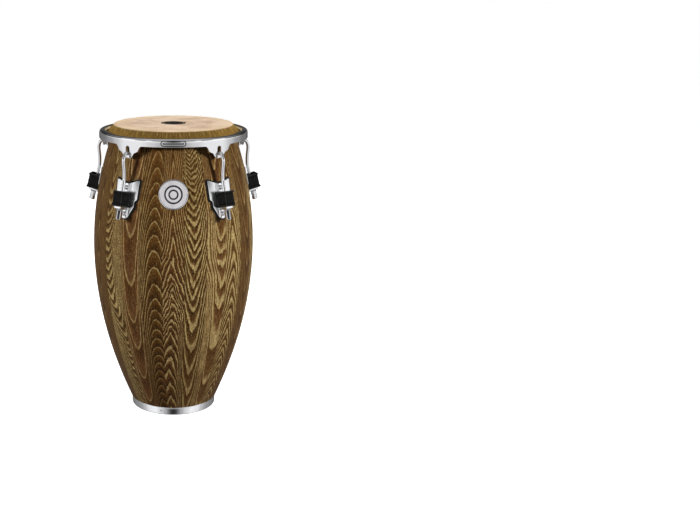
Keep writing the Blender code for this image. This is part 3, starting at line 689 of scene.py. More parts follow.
# Growth figures of the staves. Heights and widths in mm, at each height the figure's
# centre (mm from the stave's middle), the spacing of its rings, how pointed and how
# round its arcs are, and where its straight flanks begin.
FIGURES = {
    "peaks": dict(
        way=UP,
        line_at=430,
        rag=1.9,
        centre=[(80, -10), (150, -9), (200, -7), (280, -4), (330, -3), (430, -1), (700, 0)],
        gap=[(-300, 36), (110, 38), (180, 37), (220, 31), (250, 22), (300, 17), (350, 17), (375, 22), (400, 32), (440, 45), (520, 60), (900, 60)],
        point=[(100, 1.7), (220, 1.9), (300, 2.3), (400, 3.2), (450, 4.5), (700, 5.0)],
        round=[(100, 0.03), (300, 0.03), (420, 0.10), (520, 0.9), (700, 1.2)],
        flank=(17, 0.5),
        duty=[(100, 0.32), (330, 0.37), (420, 0.28), (700, 0.32)],
        gold=[(60, 0.8), (300, 1.1), (480, 0.95), (560, 0.7), (700, 0.45)],
        tone=[(60, 0.15), (200, 0.0), (350, 0.0), (450, 0.2), (700, 0.45)],
        red=[(60, 0.6), (330, 0.95), (500, 0.6), (700, 0.4)],
    ),
    "vees": dict(
        way=DOWN,
        line_at=444,
        rag=1.5,
        ease=3.0,
        centre=[(80, 0), (250, -5), (400, -4), (600, -4), (700, -4)],
        gap=[(-400, 60), (200, 60), (270, 50), (320, 36), (360, 29), (410, 29), (450, 27), (500, 24), (540, 19), (590, 13), (640, 11), (900, 11)],
        point=[(100, 2.6), (270, 2.6), (350, 2.5), (420, 1.9), (480, 1.6), (560, 1.05), (620, 0.8), (680, 0.75)],
        round=[(100, 0.05), (400, 0.03), (660, 0.012)],
        flank=(15.0, 1.0),
        duty=[(100, 0.38), (330, 0.43), (480, 0.44), (660, 0.40)],
        gold=[(60, 0.75), (300, 1.1), (500, 1.0), (620, 0.75), (700, 0.7)],
        tone=[(60, 0.4), (330, 0.05), (660, 0.05)],
        red=[(60, 0.3), (330, 0.35), (660, 0.1)],
    ),
    "long_vees": dict(
        way=DOWN,
        line_at=283,
        least=3.4,
        rag=1.5,
        ease=4.0,
        keep=0.1,
        centre=[(80, 9), (300, 13), (450, 15), (600, 13), (700, 13)],
        gap=[(-400, 78), (89, 78), (128, 95), (167, 115), (225, 115), (283, 80), (320, 60), (360, 48), (410, 34), (450, 34), (480, 45), (560, 60), (900, 60)],
        point=[(100, 0.5), (170, 0.9), (283, 1.8), (360, 1.6), (420, 0.9), (480, 1.2), (600, 2.6)],
        round=[(100, 0.028), (200, 0.03), (330, 0.035), (420, 0.03), (600, 0.06)],
        flank=(13, 1.6),
        duty=[(100, 0.22), (160, 0.40), (283, 0.48), (350, 0.36), (450, 0.42), (600, 0.22)],
        gold=[(60, 0.75), (300, 1.05), (480, 1.0), (640, 0.55)],
        tone=[(60, 0.45), (330, 0.7), (660, 0.45)],
        red=[(60, 0.4), (330, 0.7), (660, 0.6)],
    ),
    "hills": dict(
        way=UP,
        line_at=389,
        rag=1.4,
        centre=[(80, 4), (300, 0), (430, -2), (700, -4)],
        gap=[(-300, 22), (110, 22), (200, 24), (260, 26), (300, 30), (350, 38), (389, 40), (430, 45), (470, 60), (900, 70)],
        point=[(100, 1.3), (300, 1.8), (430, 2.2), (600, 2.8)],
        round=[(100, 0.04), (300, 0.06), (450, 0.2), (600, 0.6)],
        flank=(16, 0.7),
        duty=[(100, 0.34), (300, 0.42), (450, 0.55), (600, 0.32)],
        gold=[(60, 0.8), (300, 1.05), (480, 1.1), (640, 0.6)],
        tone=[(60, 0.25), (300, 0.3), (660, 0.4)],
        red=[(60, 0.25), (400, 0.3), (660, 0.15)],
    ),
    "calm_vees": dict(
        way=DOWN,
        centre=[(80, 6), (700, 8)],
        gap=[(-400, 60), (350, 62), (430, 74), (560, 86), (900, 86)],
        point=[(100, 1.8), (600, 2.2)],
        round=[(100, 0.10), (600, 0.14)],
        flank=(15, 0.5),
        duty=[(100, 0.18), (600, 0.2)],
        gold=[(60, 0.35), (600, 0.55)],
        tone=[(60, 0.15), (600, 0.25)],
        red=[(60, 0.3), (600, 0.15)],
    ),
    "arches": dict(
        way=UP,
        line_at=445,
        least=4.2,
        rag=0.6,
        ease=5.0,
        keep=0.24,
        centre=[(80, 10), (330, 9), (700, 9)],
        gap=[(-300, 22), (110, 22), (200, 23), (300, 25), (340, 36), (380, 42), (430, 40), (480, 33), (540, 28), (600, 30), (660, 40), (900, 60)],
        point=[(100, 0.15), (450, 0.15), (700, 0.5)],
        round=[(100, 0.075), (400, 0.075), (560, 0.08), (700, 0.10)],
        flank=(14.0, 0.25),
        duty=[(100, 0.17), (350, 0.13), (600, 0.12)],
        gold=[(60, 0.30), (180, 0.55), (350, 0.85), (540, 0.8), (640, 0.5), (700, 0.4)],
        tone=[(60, 0.0), (300, 0.05), (500, 0.15), (660, 0.42)],
        red=[(60, 0.4), (400, 0.2), (660, 0.25)],
    ),
    "tongue": dict(
        way=DOWN,
        line_at=255,
        least=4.6,
        rag=0.5,
        ease=6.0,
        keep=0.26,
        centre=[(80, 4), (250, 1), (700, 1)],
        gap=[(-500, 70), (90, 70), (160, 90), (255, 62), (314, 110), (900, 150)],
        point=[(100, 0.1), (600, 0.1)],
        round=[(100, 0.10), (300, 0.13), (600, 0.13)],
        flank=(14, 1.4),
        duty=[(100, 0.10), (300, 0.09), (600, 0.08)],
        gold=[(60, 0.6), (300, 0.85), (600, 0.8)],
        tone=[(60, 0.35), (400, 0.6), (600, 0.65)],
        red=[(60, 0.7), (400, 0.8), (600, 0.7)],
    ),
    "cups": dict(
        way=DOWN,
        line_at=420,
        least=3.2,
        keep=0.1,
        rag=1.2,
        ease=4.0,
        centre=[(60, 24), (150, 23), (210, 18), (270, 2), (320, -16), (420, -20), (560, -20), (700, -14)],
        gap=[(-400, 20), (200, 20), (320, 24), (480, 22), (560, 24), (600, 40), (900, 60)],
        point=[(60, 0.5), (200, 1.0), (330, 0.8), (560, 0.9), (600, 2.6)],
        round=[(60, 0.03), (200, 0.05), (330, 0.035), (560, 0.035), (600, 0.3)],
        flank=(16, 0.35),
        duty=[(60, 0.34), (330, 0.44), (560, 0.38)],
        gold=[(60, 0.8), (330, 1.0), (600, 0.6)],
        tone=[(60, 0.1), (330, 0.1), (600, 0.3)],
        red=[(60, 0.1), (600, 0.1)],
    ),
    "quiet": dict(
        way=UP,
        centre=[(80, -14), (700, -10)],
        gap=[(-300, 70), (900, 80)],
        point=[(100, 2.4), (700, 2.4)],
        round=[(100, 0.4), (700, 0.6)],
        flank=(10, 0.6),
        duty=[(100, 0.22), (700, 0.26)],
        gold=[(60, 0.3), (600, 0.42)],
        tone=[(60, 0.1), (600, 0.25)],
        red=[(60, 0.2), (600, 0.1)],
    ),
}
FRONT = {
    0: "peaks",
    1: "vees",
    2: "long_vees",
    3: "hills",
    4: "calm_vees",
    22: "arches",
    21: "tongue",
    20: "cups",
    19: "quiet",
}
REST = ["vees", "quiet", "peaks", "tongue", "hills", "calm_vees", "arches", "long_vees"]
GRID_Z = np.linspace(-1500.0, 2200.0, 7401)


def knots(table, z):
    return np.interp(z, [k[0] for k in table], [k[1] for k in table])


def stave_fields(k, zs_mm, u_mm):
    """Ring count and looks of one stave on a grid of heights and widths."""
    name = FRONT.get(k) or REST[(k * 5 + 3) % len(REST)]
    fig = FIGURES[name]
    front = k in FRONT
    flip = 1.0 if front or k % 2 else -1.0
    shift = 0.0 if front else 60.0 * math.sin(k * 2.3)
    z = zs_mm + shift
    u = u_mm * flip
    sway = np.array([noise.noise(Vector((v * 0.012, k * 3.7, 0.0))) for v in zs_mm[:, 0]])
    jit = np.array([noise.noise(Vector((v * 0.06, k * 1.9, 4.0))) for v in zs_mm[:, 0]])
    rag = fig.get("rag", 1.0)
    centre = knots(fig["centre"], z) + (2.6 * rag * sway + 1.2 * rag * jit)[:, None]
    v = u - centre
    e = fig.get("ease", 2.2)
    w, steep = fig["flank"]
    # climb of the arcs away from their middle, held to a least spacing of the lines
    line = np.arange(0.0, 70.5, 0.5)
    row = z[:, :1]
    climb = knots(fig["point"], row) * line / np.sqrt(line * line + e * e)
    climb = climb + 2 * knots(fig["round"], row) * line
    climb = climb + 2 * steep * np.maximum(line - w, 0.0)
    most = knots(fig["gap"], row) / fig.get("least", 4.6)
    climb = most * np.tanh(climb / most)
    rise = np.cumsum(climb, axis=1) * 0.5
    f = np.array([np.interp(np.abs(v[i]), line, rise[i]) for i in range(len(v))])
    steepness = np.array([np.interp(np.abs(v[i]), line, climb[i]) for i in range(len(v))])
    gap = knots(fig["gap"], GRID_Z + shift)
    count = np.concatenate([[0.0], np.cumsum(0.5 / gap[:-1])])
    at = zs_mm + f * (1.0 if fig["way"] == UP else -1.0)
    ring = np.interp(at, GRID_Z, count)
    if fig["way"] == UP:
        ring = -ring
    if "line_at" in fig:
        ring = ring - np.interp(fig["line_at"], GRID_Z, count) * (1.0 if fig["way"] == DOWN else -1.0)
    pitch = 1.0 / np.maximum(knots(fig["gap"], at + shift), 10.0)
    wob = np.array(
        [
            [
                noise.noise(Vector((u_mm[0, j] * 0.07, zs_mm[i, 0] * 0.016, k * 5.1)))
                for j in range(u_mm.shape[1])
            ]
            for i in range(zs_mm.shape[0])
        ]
    )
    ring = ring + 6.0 * fig.get("rag", 1.0) * pitch * wob + 100.0
    looks = {n: knots(fig[n], z) + 0 * u for n in ("duty", "gold", "tone", "red")}
    looks["pitch"] = pitch * fig.get("rag", 1.0)
    looks["duty"] = np.minimum(looks["duty"] * (1 + steepness**2) ** fig.get("keep", 0.0), 0.62)
    return ring, looks


def build_shell():
    a = shell_r(EDGE_START) - EDGE_R
    b = EDGE_Z - EDGE_START
    c = EDGE_R - (shell_r(EDGE_START) - WALL)
    prof = [
        (EDGE_R + a * math.cos(math.radians(t)), EDGE_START + b * math.sin(math.radians(t)))
        for t in range(90, 0, -15)
    ]
    rows = 150
    top = len(prof)
    low = RING_H + 0.0006
    for i in range(rows + 1):
        z = EDGE_START + (low - EDGE_START) * i / rows
        prof.append((shell_r(z), z))
    seat = RING_R - RING_T - 0.0004
    prof += [(seat, low), (seat, SHELL_BOTTOM)]
    prof.append((shell_r(0.02) - 0.014, SHELL_BOTTOM))
    prof += [
        (shell_r(z) - WALL, z)
        for z in [0.03 + (EDGE_START - 0.03) * i / 30 for i in range(31)]
    ]
    prof += [
        (EDGE_R + c * math.cos(math.radians(t)), EDGE_START + b * math.sin(math.radians(t)))
        for t in range(165, 90, -15)
    ]
    n, m = len(prof), STAVES * COLS
    verts = []
    for r, z in prof:
        for j in range(m):
            t = math.radians(FIRST_SEAM + STAVE_DEG * j / COLS)
            verts.append((r * math.sin(t), -r * math.cos(t), z))
    faces = [
        (i * m + j, ((i + 1) % n) * m + j, ((i + 1) % n) * m + (j + 1) % m, i * m + (j + 1) % m)
        for i in range(n)
        for j in range(m)
    ]
    me = mesh_of("shell_skin", verts, faces)
    r = np.array([p[0] for p in prof])
    z = np.array([p[1] for p in prof])
    half = np.radians(STAVE_DEG / 2) * r * 1000.0
    frac = np.linspace(-1.0, 1.0, COLS + 1)
    u = half[:, None] * frac[None, :]
    belly = np.radians(STAVE_DEG / 2) * BELLY_R * 1000.0
    grown = u * (0.45 + 0.55 * belly / np.maximum(half[:, None], 1.0))
    zz = np.repeat(z[:, None] * 1000.0, COLS + 1, axis=1)
    names = ("ring", "um", "zm", "duty", "gold", "tone", "red", "seam", "sid", "pitch")
    data = {k: np.zeros((n, m, 4), np.float32) for k in names}
    for k in range(STAVES):
        ring, looks = stave_fields(k, zz, grown)
        seam = half[:, None] - np.abs(u)
        values = dict(looks, ring=ring, um=grown, zm=zz, seam=seam, sid=np.full_like(zz, k * 7.31))
        for name, v in values.items():
            for i in range(n):
                i2 = (i + 1) % n
                s = slice(k * COLS, (k + 1) * COLS)
                data[name][i, s, 0] = v[i, :-1]
                data[name][i, s, 1] = v[i2, :-1]
                data[name][i, s, 2] = v[i2, 1:]
                data[name][i, s, 3] = v[i, 1:]
    for name, v in data.items():
        at = me.attributes.new(name, "FLOAT", "CORNER")
        at.data.foreach_set("value", v.reshape(-1))
    me.shade_smooth()
    me.set_sharp_from_angle(angle=math.radians(50))
    me.transform(AXIS)
    me.flip_normals() if me.polygons[top * m].normal.dot(Vector(verts[top * m])) < 0 else None
    return me


add("shell_staves", build_shell(), WOOD, "shell_body", "shell")

# ----------------------------------------------------------------- base ring
ring_pts = arc(RING_R - 0.0006, RING_H - 0.0006, 0.0006, 90, 0, 4)
ring_pts += arc(RING_R - RING_ROUND, RING_ROUND, RING_ROUND, 0, -90, 8)
ring_pts += [(RING_FLANGE_R, 0.0), (RING_FLANGE_R, 0.0018)]
ring_pts += arc(RING_R - RING_T - 0.0010, 0.0028, 0.0010, -90, 0, 4)
ring_pts += [(RING_R - RING_T, RING_H - 0.0003), (RING_R - RING_T + 0.0003, RING_H)]
add(
    "foot_ring",
    lathe("foot_ring", ring_pts, 240, True),
    CHROME,
    "shell_body",
    "base_ring",
    AXIS,
)
nail_pts = [(0.0, 0.0012), (0.0007, 0.00115), (0.0013, 0.0010), (0.0018, 0.0007)]
nail_pts += [(0.0021, 0.00035), (0.0020, 0.0002), (0.0010, 0.0002), (0.0010, -0.0066), (0.0, -0.0074)]
for i, az in enumerate(NAIL_AZ):
    t = math.radians(az)
    m = (
        AXIS
        @ Matrix.Translation((RING_R * math.sin(t), -RING_R * math.cos(t), NAIL_Z))
        @ Matrix.Rotation(t, 4, "Z")
        @ Matrix.Rotation(math.pi / 2, 4, "X")
    )
    add(
        f"nail_{i + 1}",
        lathe(f"nail_{i + 1}", nail_pts, 20, False, 30),
        NAIL,
        "shell_body",
        f"ring_nail_{i + 1}",
        m,
    )


# ---------------------------------------------------------------------- head
def build_skin():
    s = math.radians(COLLAR_DEG)
    d = Vector((math.cos(s), -math.sin(s)))
    rho = HOOP_BAR + FOLD_GAP + SKIN_T / 2
    c = Vector((HOOP_R, HOOP_Z))
    start = math.pi + (math.pi / 2 - s)
    foot = c + rho * Vector((math.cos(start), math.sin(start)))
    top = HEIGHT - SKIN_T / 2
    corner = foot - d * ((top - foot.y) / math.sin(s))
    back = SHOULDER * math.tan(s / 2)
    centre = Vector((corner.x - back, top - SHOULDER))
    mid, part = [], []
    flat = centre.x
    for i in range(26):
        mid.append((flat * i / 26, top))
        part.append(0.0)
    for i in range(9):
        t = math.pi / 2 - s * i / 8
        mid.append((centre.x + SHOULDER * math.cos(t), centre.y + SHOULDER * math.sin(t)))
        part.append(i / 8 * 0.75)
    a, b = Vector(mid[-1]), foot
    for i in range(1, 8):
        q = a.lerp(b, i / 8)
        mid.append((q.x, q.y))
        part.append(1.0)
    n = 26
    end = 2 * math.pi + math.radians(FOLD_END_DEG)
    for i in range(n + 1):
        t = start + (end - start) * i / n
        mid.append((c.x + rho * math.cos(t), c.y + rho * math.sin(t)))
        part.append(1.0 + min(1.0, i / 3))
    left, right = thick_path(mid, SKIN_T)
    left[0] = (0.0, left[0][1])
    right[-1] = (0.0, right[-1][1])
    loop = left + right
    parts = part + part[::-1]
    length = [0.0]
    for p, q in zip(mid, mid[1:]):
        length.append(length[-1] + (Vector(q) - Vector(p)).length)
    lens = length + length[::-1]
    steps = 288
    verts, rows = [], []
    value = {"rad": [], "part": [], "am": [], "sm": []}
    for (r, z), pt, ln in zip(loop, parts, lens):
        pole = r < 1e-7
        rows.append([len(verts)] * steps if pole else list(range(len(verts), len(verts) + steps)))
        for i in range(1 if pole else steps):
            t = 2 * math.pi * i / steps
            sag = 0.0
            if 0.03 < r < 0.142 and pt < 0.1:
                sag = 0.00022 * noise.noise(Vector((r * 22 * math.sin(t), r * 22 * math.cos(t), 1.0)))
            rr = r
            if pt > 1.9:
                rr += 0.00018 * noise.noise(Vector((14 * math.sin(t), 14 * math.cos(t), 3.0)))
            verts.append((rr * math.sin(t), -rr * math.cos(t), z + sag))
            value["rad"].append(r * 1000)
            value["part"].append(pt)
            value["am"].append(HOOP_R * 1000 * abs(t - math.pi) if not pole else 0.0)
            value["sm"].append(ln * 1000)
    faces = []
    k = len(loop)
    for i in range(k):
        a_, b_ = rows[i], rows[(i + 1) % k]
        if a_[0] == a_[1] and b_[0] == b_[1]:
            continue
        for j in range(steps):
            q = (j + 1) % steps
            f = []
            for v in (a_[j], a_[q], b_[q], b_[j]):
                if v not in f:
                    f.append(v)
            if len(f) > 2:
                faces.append(f)
    me = mesh_of("head_skin", verts, faces)
    for name, v in value.items():
        at = me.attributes.new(name, "FLOAT", "POINT")
        at.data.foreach_set("value", np.array(v, np.float32))
    bm = bmesh.new()
    bm.from_mesh(me)
    bmesh.ops.recalc_face_normals(bm, faces=bm.faces)
    bm.to_mesh(me)
    bm.free()
    me.shade_smooth()
    me.set_sharp_from_angle(angle=math.radians(60))
    return me


add("head_skin", build_skin(), HIDE, "head_assembly", "drumhead_skin", AXIS)
add(
    "hoop_bar",
    lathe("hoop_bar", arc(HOOP_R, HOOP_Z, HOOP_BAR, 0, 345, 23), 200, True, 60),
    ZINC,
    "head_assembly",
    "flesh_hoop",
    AXIS,
)


# ----------------------------------------------------------------------- rim
def wall_r(z):
    """Middle radius of the rim's wall: upright on the ears, leaning in towards the lip."""
    t = min(max((z - APRON_Z) / (RIM_TOP - RIM_ROUND - APRON_Z), 0.0), 1.0)
    return RIM_R - 0.5 * math.tan(math.radians(3.0)) * 0.0127 * t * t


def build_rim():
    split = 0.6800
    cols = 60
    span = math.radians(72.0)
    step = span / cols
    half = [(math.radians(a), z) for a, z in EAR_HALF]
    side = [(p.x, p.y) for p in spline([half[-1]] + half[::-1][1:], 6)]
    side = [(0.0, EAR_TIP_Z)] + side
    right = [(a * RIM_R, z) for a, z in side]
    edge_cols = [k * step for k in range(cols // 2 + 1) if k * step > half[0][0] + 0.4 * step]
    right += [(a * RIM_R, APRON_Z) for a in edge_cols]
    left = [(-x, z) for x, z in right[::-1]][:-1]
    outline = left + right
    outline += [((cols // 2 - k) * step * RIM_R, split) for k in range(cols + 1)]
    r = EYE_W / 2
    eye = arc(0.0, EYE_HIGH - r, r, 0, 180, 12) + arc(0.0, EYE_LOW + r, r, 180, 360, 12)
    co, tris = filled(outline, [eye], step * RIM_R, 0.0026, 0.0009, 0.0, split - 0.0026 * 12)
    verts, faces = [], []
    for s in range(5):
        base = math.radians(LUG_AZ[s])
        o = len(verts)
        for x, z in co:
            t = base + x / RIM_R
            q = wall_r(z)
            verts.append((q * math.sin(t), -q * math.cos(t), z))
        faces += [tuple(o + i for i in f) for f in tris]
    rise = [split + (RIM_TOP - RIM_ROUND - split) * i / 6 for i in range(7)]
    prof = [(wall_r(z), z) for z in rise]
    inset = RIM_R - wall_r(1.0)
    prof += [(x - inset, z) for x, z in arc(RIM_R - RIM_ROUND, RIM_TOP - RIM_ROUND, RIM_ROUND, 0, 90, 8)[1:]]
    prof += [(RIM_LIP_R + (RIM_R - RIM_ROUND - RIM_LIP_R - inset) * f, RIM_TOP) for f in (0.5, 0.0)]
    m = cols * 5
    o = len(verts)
    for r_, z in prof:
        for k in range(m):
            t = math.radians(LUG_AZ[0]) + k * step
            verts.append((r_ * math.sin(t), -r_ * math.cos(t), z))
    for i in range(len(prof) - 1):
        for k in range(m):
            k2 = (k + 1) % m
            faces.append((o + i * m + k, o + i * m + k2, o + (i + 1) * m + k2, o + (i + 1) * m + k))
    me = mesh_of("rim_sheet", verts, faces)
    bm = bmesh.new()
    bm.from_mesh(me)
    bmesh.ops.remove_doubles(bm, verts=bm.verts, dist=2e-6)
    bmesh.ops.recalc_face_normals(bm, faces=bm.faces)
    bm.normal_update()
    worst = max(bm.faces, key=lambda f: abs(f.normal.z) < 0.3 and f.calc_area())
    if worst.normal.dot(worst.calc_center_median() * Vector((1, 1, 0))) < 0:
        bmesh.ops.reverse_faces(bm, faces=bm.faces)
    bm.to_mesh(me)
    bm.free()
    out = baked(
        "rim_chrome",
        me,
        [
            ("SOLIDIFY", dict(thickness=RIM_T, offset=0.0, use_even_offset=True)),
            (
                "BEVEL",
                dict(width=0.0006, segments=3, limit_method="ANGLE", angle_limit=math.radians(55)),
            ),
        ],
    )
    out.shade_smooth()
    out.set_sharp_from_angle(angle=math.radians(42))
    return out


add("rim_chrome", build_rim(), CHROME, "head_assembly", "rim", AXIS)


def obround(name, half_l, half_h, prof):
    """A raised bead or plate round a long oval on the rim's front wall."""
    cx = half_l - half_h
    path = []
    for side in (1, -1):
        for i in range(25):
            t = math.pi * (i / 24 - 0.5)
            path.append((side * cx, side * math.cos(t), side * math.sin(t)))
        for i in range(1, 36):
            path.append((side * cx * (1 - i / 18), 0.0, float(side)))
    n = len(path)
    zc = 0.6874
    verts, faces = [], []
    for grow_, off in prof:
        for x, c, s in path:
            px = x + (half_h + grow_) * c
            z = zc + (half_h + grow_) * s
            r = wall_r(z) + RIM_T / 2 + off
            t = px / RIM_R
            verts.append((r * math.sin(t), -r * math.cos(t), z))
    k = len(prof)
    for i in range(k - 1):
        for j in range(n):
            q = (j + 1) % n
            faces.append((i * n + j, i * n + q, (i + 1) * n + q, (i + 1) * n + j))
    return verts, faces, n, k


def bead(name, half_l, half_h, w, h):
    prof = [(-w / 2 + 1e-5, -0.0004)]
    prof += [(w / 2 * math.cos(math.radians(a)), h * math.sin(math.radians(a))) for a in range(180, -1, -30)]
    prof += [(w / 2 - 1e-5, -0.0004)]
    verts, faces, n, k = obround(name, half_l, half_h, prof)
    faces += [((k - 1) * n + j, (k - 1) * n + (j + 1) % n, (j + 1) % n, j) for j in range(n)]
    me = mesh_of(name, verts, faces)
    tidy(me, 60)
    return me


add("rim_oval", bead("rim_oval", 0.0282, 0.0056, 0.0021, 0.0004), LABEL, "head_assembly", None, AXIS)
add("rim_oval_inner", bead("rim_oval_inner", 0.0232, 0.0016, 0.0016, 0.0003), LABEL, "head_assembly", None, AXIS)


# --------------------------------------------------------------------- badge
def build_badge():
    prof = [(0.0, 0.00125), (0.004, 0.00125)]
    prof += [(r / 1000, 0.00125) for r in (8, 11.6, 14.5, 17.4, 21.2, 25, 28.5, 30.8)]
    prof += [(0.0312, 0.00135), (0.0318, 0.0018), (0.0325, 0.0019), (0.0333, 0.0018), (0.0338, 0.0014), (0.0340, 0.0009)]
    prof += [(0.0340, BADGE_OFF), (0.0, BADGE_OFF)]
    steps = 120
    verts, rows, rad = [], [], []
    for r, off in prof:
        pole = r == 0.0
        rows.append([len(verts)] * steps if pole else list(range(len(verts), len(verts) + steps)))
        for i in range(1 if pole else steps):
            t = 2 * math.pi * i / steps
            verts.append(on_shell(r * math.sin(t), BADGE_Z + r * math.cos(t), off))
            rad.append(r * 1000)
    faces = []
    for a, b in zip(rows, rows[1:]):
        for j in range(steps):
            q = (j + 1) % steps
            f = []
            for v in (a[j], a[q], b[q], b[j]):
                if v not in f:
                    f.append(v)
            if len(f) > 2:
                faces.append(f)
    me = mesh_of("badge_disc", verts, faces)
    at = me.attributes.new("rad", "FLOAT", "POINT")
    at.data.foreach_set("value", np.array(rad, np.float32))
    bm = bmesh.new()
    bm.from_mesh(me)
    bmesh.ops.recalc_face_normals(bm, faces=bm.faces)
    bm.to_mesh(me)
    bm.free()
    me.shade_smooth()
    me.set_sharp_from_angle(angle=math.radians(50))
    return me


add("badge_disc", build_badge(), BADGE, "shell_body", "badge", AXIS)


# -------------------------------------------------------------- lug hardware
def grow(half, d):
    out = []
    n = len(half)
    for i, p in enumerate(half):
        p = Vector(p)
        a = Vector(half[i - 1]) if i else Vector((-half[1][0], half[1][1]))
        b = Vector(half[i + 1]) if i < n - 1 else Vector((-half[-2][0], half[-2][1]))
        n1 = (p - a).normalized()
        n2 = (b - p).normalized()
        n1 = Vector((-n1.y, n1.x))
        n2 = Vector((-n2.y, n2.x))
        m = (n1 + n2).normalized()
        q = p + m * (d / max(m.dot(n1), 0.6))
        if i in (0, n - 1):
            q.x = 0.0
        out.append((q.x, q.y))
    return out


def whole(half):
    return half + [(-x, z) for x, z in half[-2:0:-1]]


def sheet(name, half, radius, off, thick, edge, step):
    outline = fillet(whole(half), radius)
    co, tris = filled(outline, [], step, step, step * 0.4, 0.0, 0.5)
    verts = [on_shell(x, z, off(x, z)) for x, z in co]
    me = mesh_of(name, verts, tris)
    bm = bmesh.new()
    bm.from_mesh(me)
    bmesh.ops.recalc_face_normals(bm, faces=bm.faces)
    bm.normal_update()
    if sum(f.normal.y * f.calc_area() for f in bm.faces) > 0:
        bmesh.ops.reverse_faces(bm, faces=bm.faces)
    bm.to_mesh(me)
    bm.free()
    out = baked(
        name,
        me,
        [
            ("SOLIDIFY", dict(thickness=thick, offset=1.0, use_even_offset=True)),
            (
                "BEVEL",
                dict(width=edge, segments=3, limit_method="ANGLE", angle_limit=math.radians(50)),
            ),
        ],
    )
    out.shade_smooth()
    out.set_sharp_from_angle(angle=math.radians(42))
    return out


def rib(x, z):
    return PLATE_OFF + RIB_H * smooth01((0.0083 - abs(x)) / 0.0032)


plate_me = sheet("plate", PLATE_HALF, 0.0022, rib, PLATE_T, 0.00055, 0.0016)
gasket_me = sheet(
    "under_plate", grow(PLATE_HALF, GASKET_EDGE), 0.0045, lambda x, z: GASKET_OFF, GASKET_T, 0.0004, 0.004
)


def build_bolt():
    rows = [
        ("c", 0.0002, RIB_TOP + 0.0019),
        ("h", 0.0019, RIB_TOP + 0.0019),
        ("h", 0.0020, RIB_TOP + 0.0036),
        ("r", 0.0029, RIB_TOP + 0.00355),
        ("r", 0.0038, RIB_TOP + 0.0031),
        ("r", 0.0046, RIB_TOP + 0.0024),
        ("r", 0.0052, RIB_TOP + 0.0015),
        ("r", 0.0055, RIB_TOP + 0.0008),
        ("r", 0.0054, RIB_TOP + 0.0003),
        ("r", 0.0029, RIB_TOP + 0.0003),
        ("r", 0.0029, -0.0226),
        ("c", 0.0, -0.0234),
    ]
    steps = 36
    verts, faces = [], []
    for kind, r, z in rows:
        for i in range(steps):
            t = 2 * math.pi * i / steps
            q = r
            if kind == "h":
                w = (t % (math.pi / 3)) - math.pi / 6
                q = r / math.cos(w) * 0.94
            verts.append((q * math.sin(t), -q * math.cos(t), z))
    for k in range(len(rows) - 1):
        for i in range(steps):
            j = (i + 1) % steps
            faces.append((k * steps + i, k * steps + j, (k + 1) * steps + j, (k + 1) * steps + i))
    faces.append(tuple(range(steps)))
    me = mesh_of("bolt", verts, faces)
    tidy(me, 35)
    return me


bolt_me = build_bolt()


def build_receiver():
    tower_top = RECEIVER_HIGH - 0.0014
    pts = []
    n = 10
    for i in range(n + 1):
        w = RECEIVER_LOW + (tower_top - RECEIVER_LOW) * i / n
        u = 0.0
        for _ in range(60):
            r = PIVOT_R + u * math.cos(TILT) - w * math.sin(TILT)
            z = PIVOT_Z + u * math.sin(TILT) + w * math.cos(TILT)
            lean = shell_lean(z)
            d = (r - shell_r(z)) * math.cos(lean) - (RIB_TOP + GAP)
            u -= d / math.cos(TILT - lean)
        pts.append((u, w))
    pts += [(RECEIVER_OUT, tower_top), (RECEIVER_OUT, RECEIVER_LOW)]
    verts = [(-RECEIVER_HALF, -u, w) for u, w in pts] + [(RECEIVER_HALF, -u, w) for u, w in pts]
    k = len(pts)
    faces = [tuple(range(k)), tuple(range(2 * k - 1, k - 1, -1))]
    faces += [(i, k + i, k + (i + 1) % k, (i + 1) % k) for i in range(k)]
    me = mesh_of("tower", verts, faces)
    tidy(me)
    cutter = lathe("tower_bore", [(0.0, -0.03), (0.0049, -0.03), (0.0049, 0.03), (0.0, 0.03)], 32, False)
    cob = bpy.data.objects.new("tower_bore", cutter)
    bpy.context.scene.collection.objects.link(cob)
    out = baked(
        "tower",
        me,
        [
            (
                "BEVEL",
                dict(width=0.0024, segments=4, limit_method="ANGLE", angle_limit=math.radians(50)),
            ),
            ("BOOLEAN", dict(operation="DIFFERENCE", object=cob, solver="EXACT")),
        ],
    )
    bpy.data.objects.remove(cob, do_unlink=True)
    tidy(out, 40)
    return out


receiver_me = build_receiver()

washer_low = RECEIVER_LOW - 0.0003 - WASHER_T
washer_pts = [
    (WASHER_R, washer_low + WASHER_T - 0.0002),
    (WASHER_R, washer_low + 0.0003),
    (WASHER_R - 0.0003, washer_low),
    (0.0048, washer_low),
    (0.0048, washer_low + WASHER_T),
    (WASHER_R - 0.0002, washer_low + WASHER_T),
]
washer_me = lathe("washer", washer_pts, 48, True, 50)


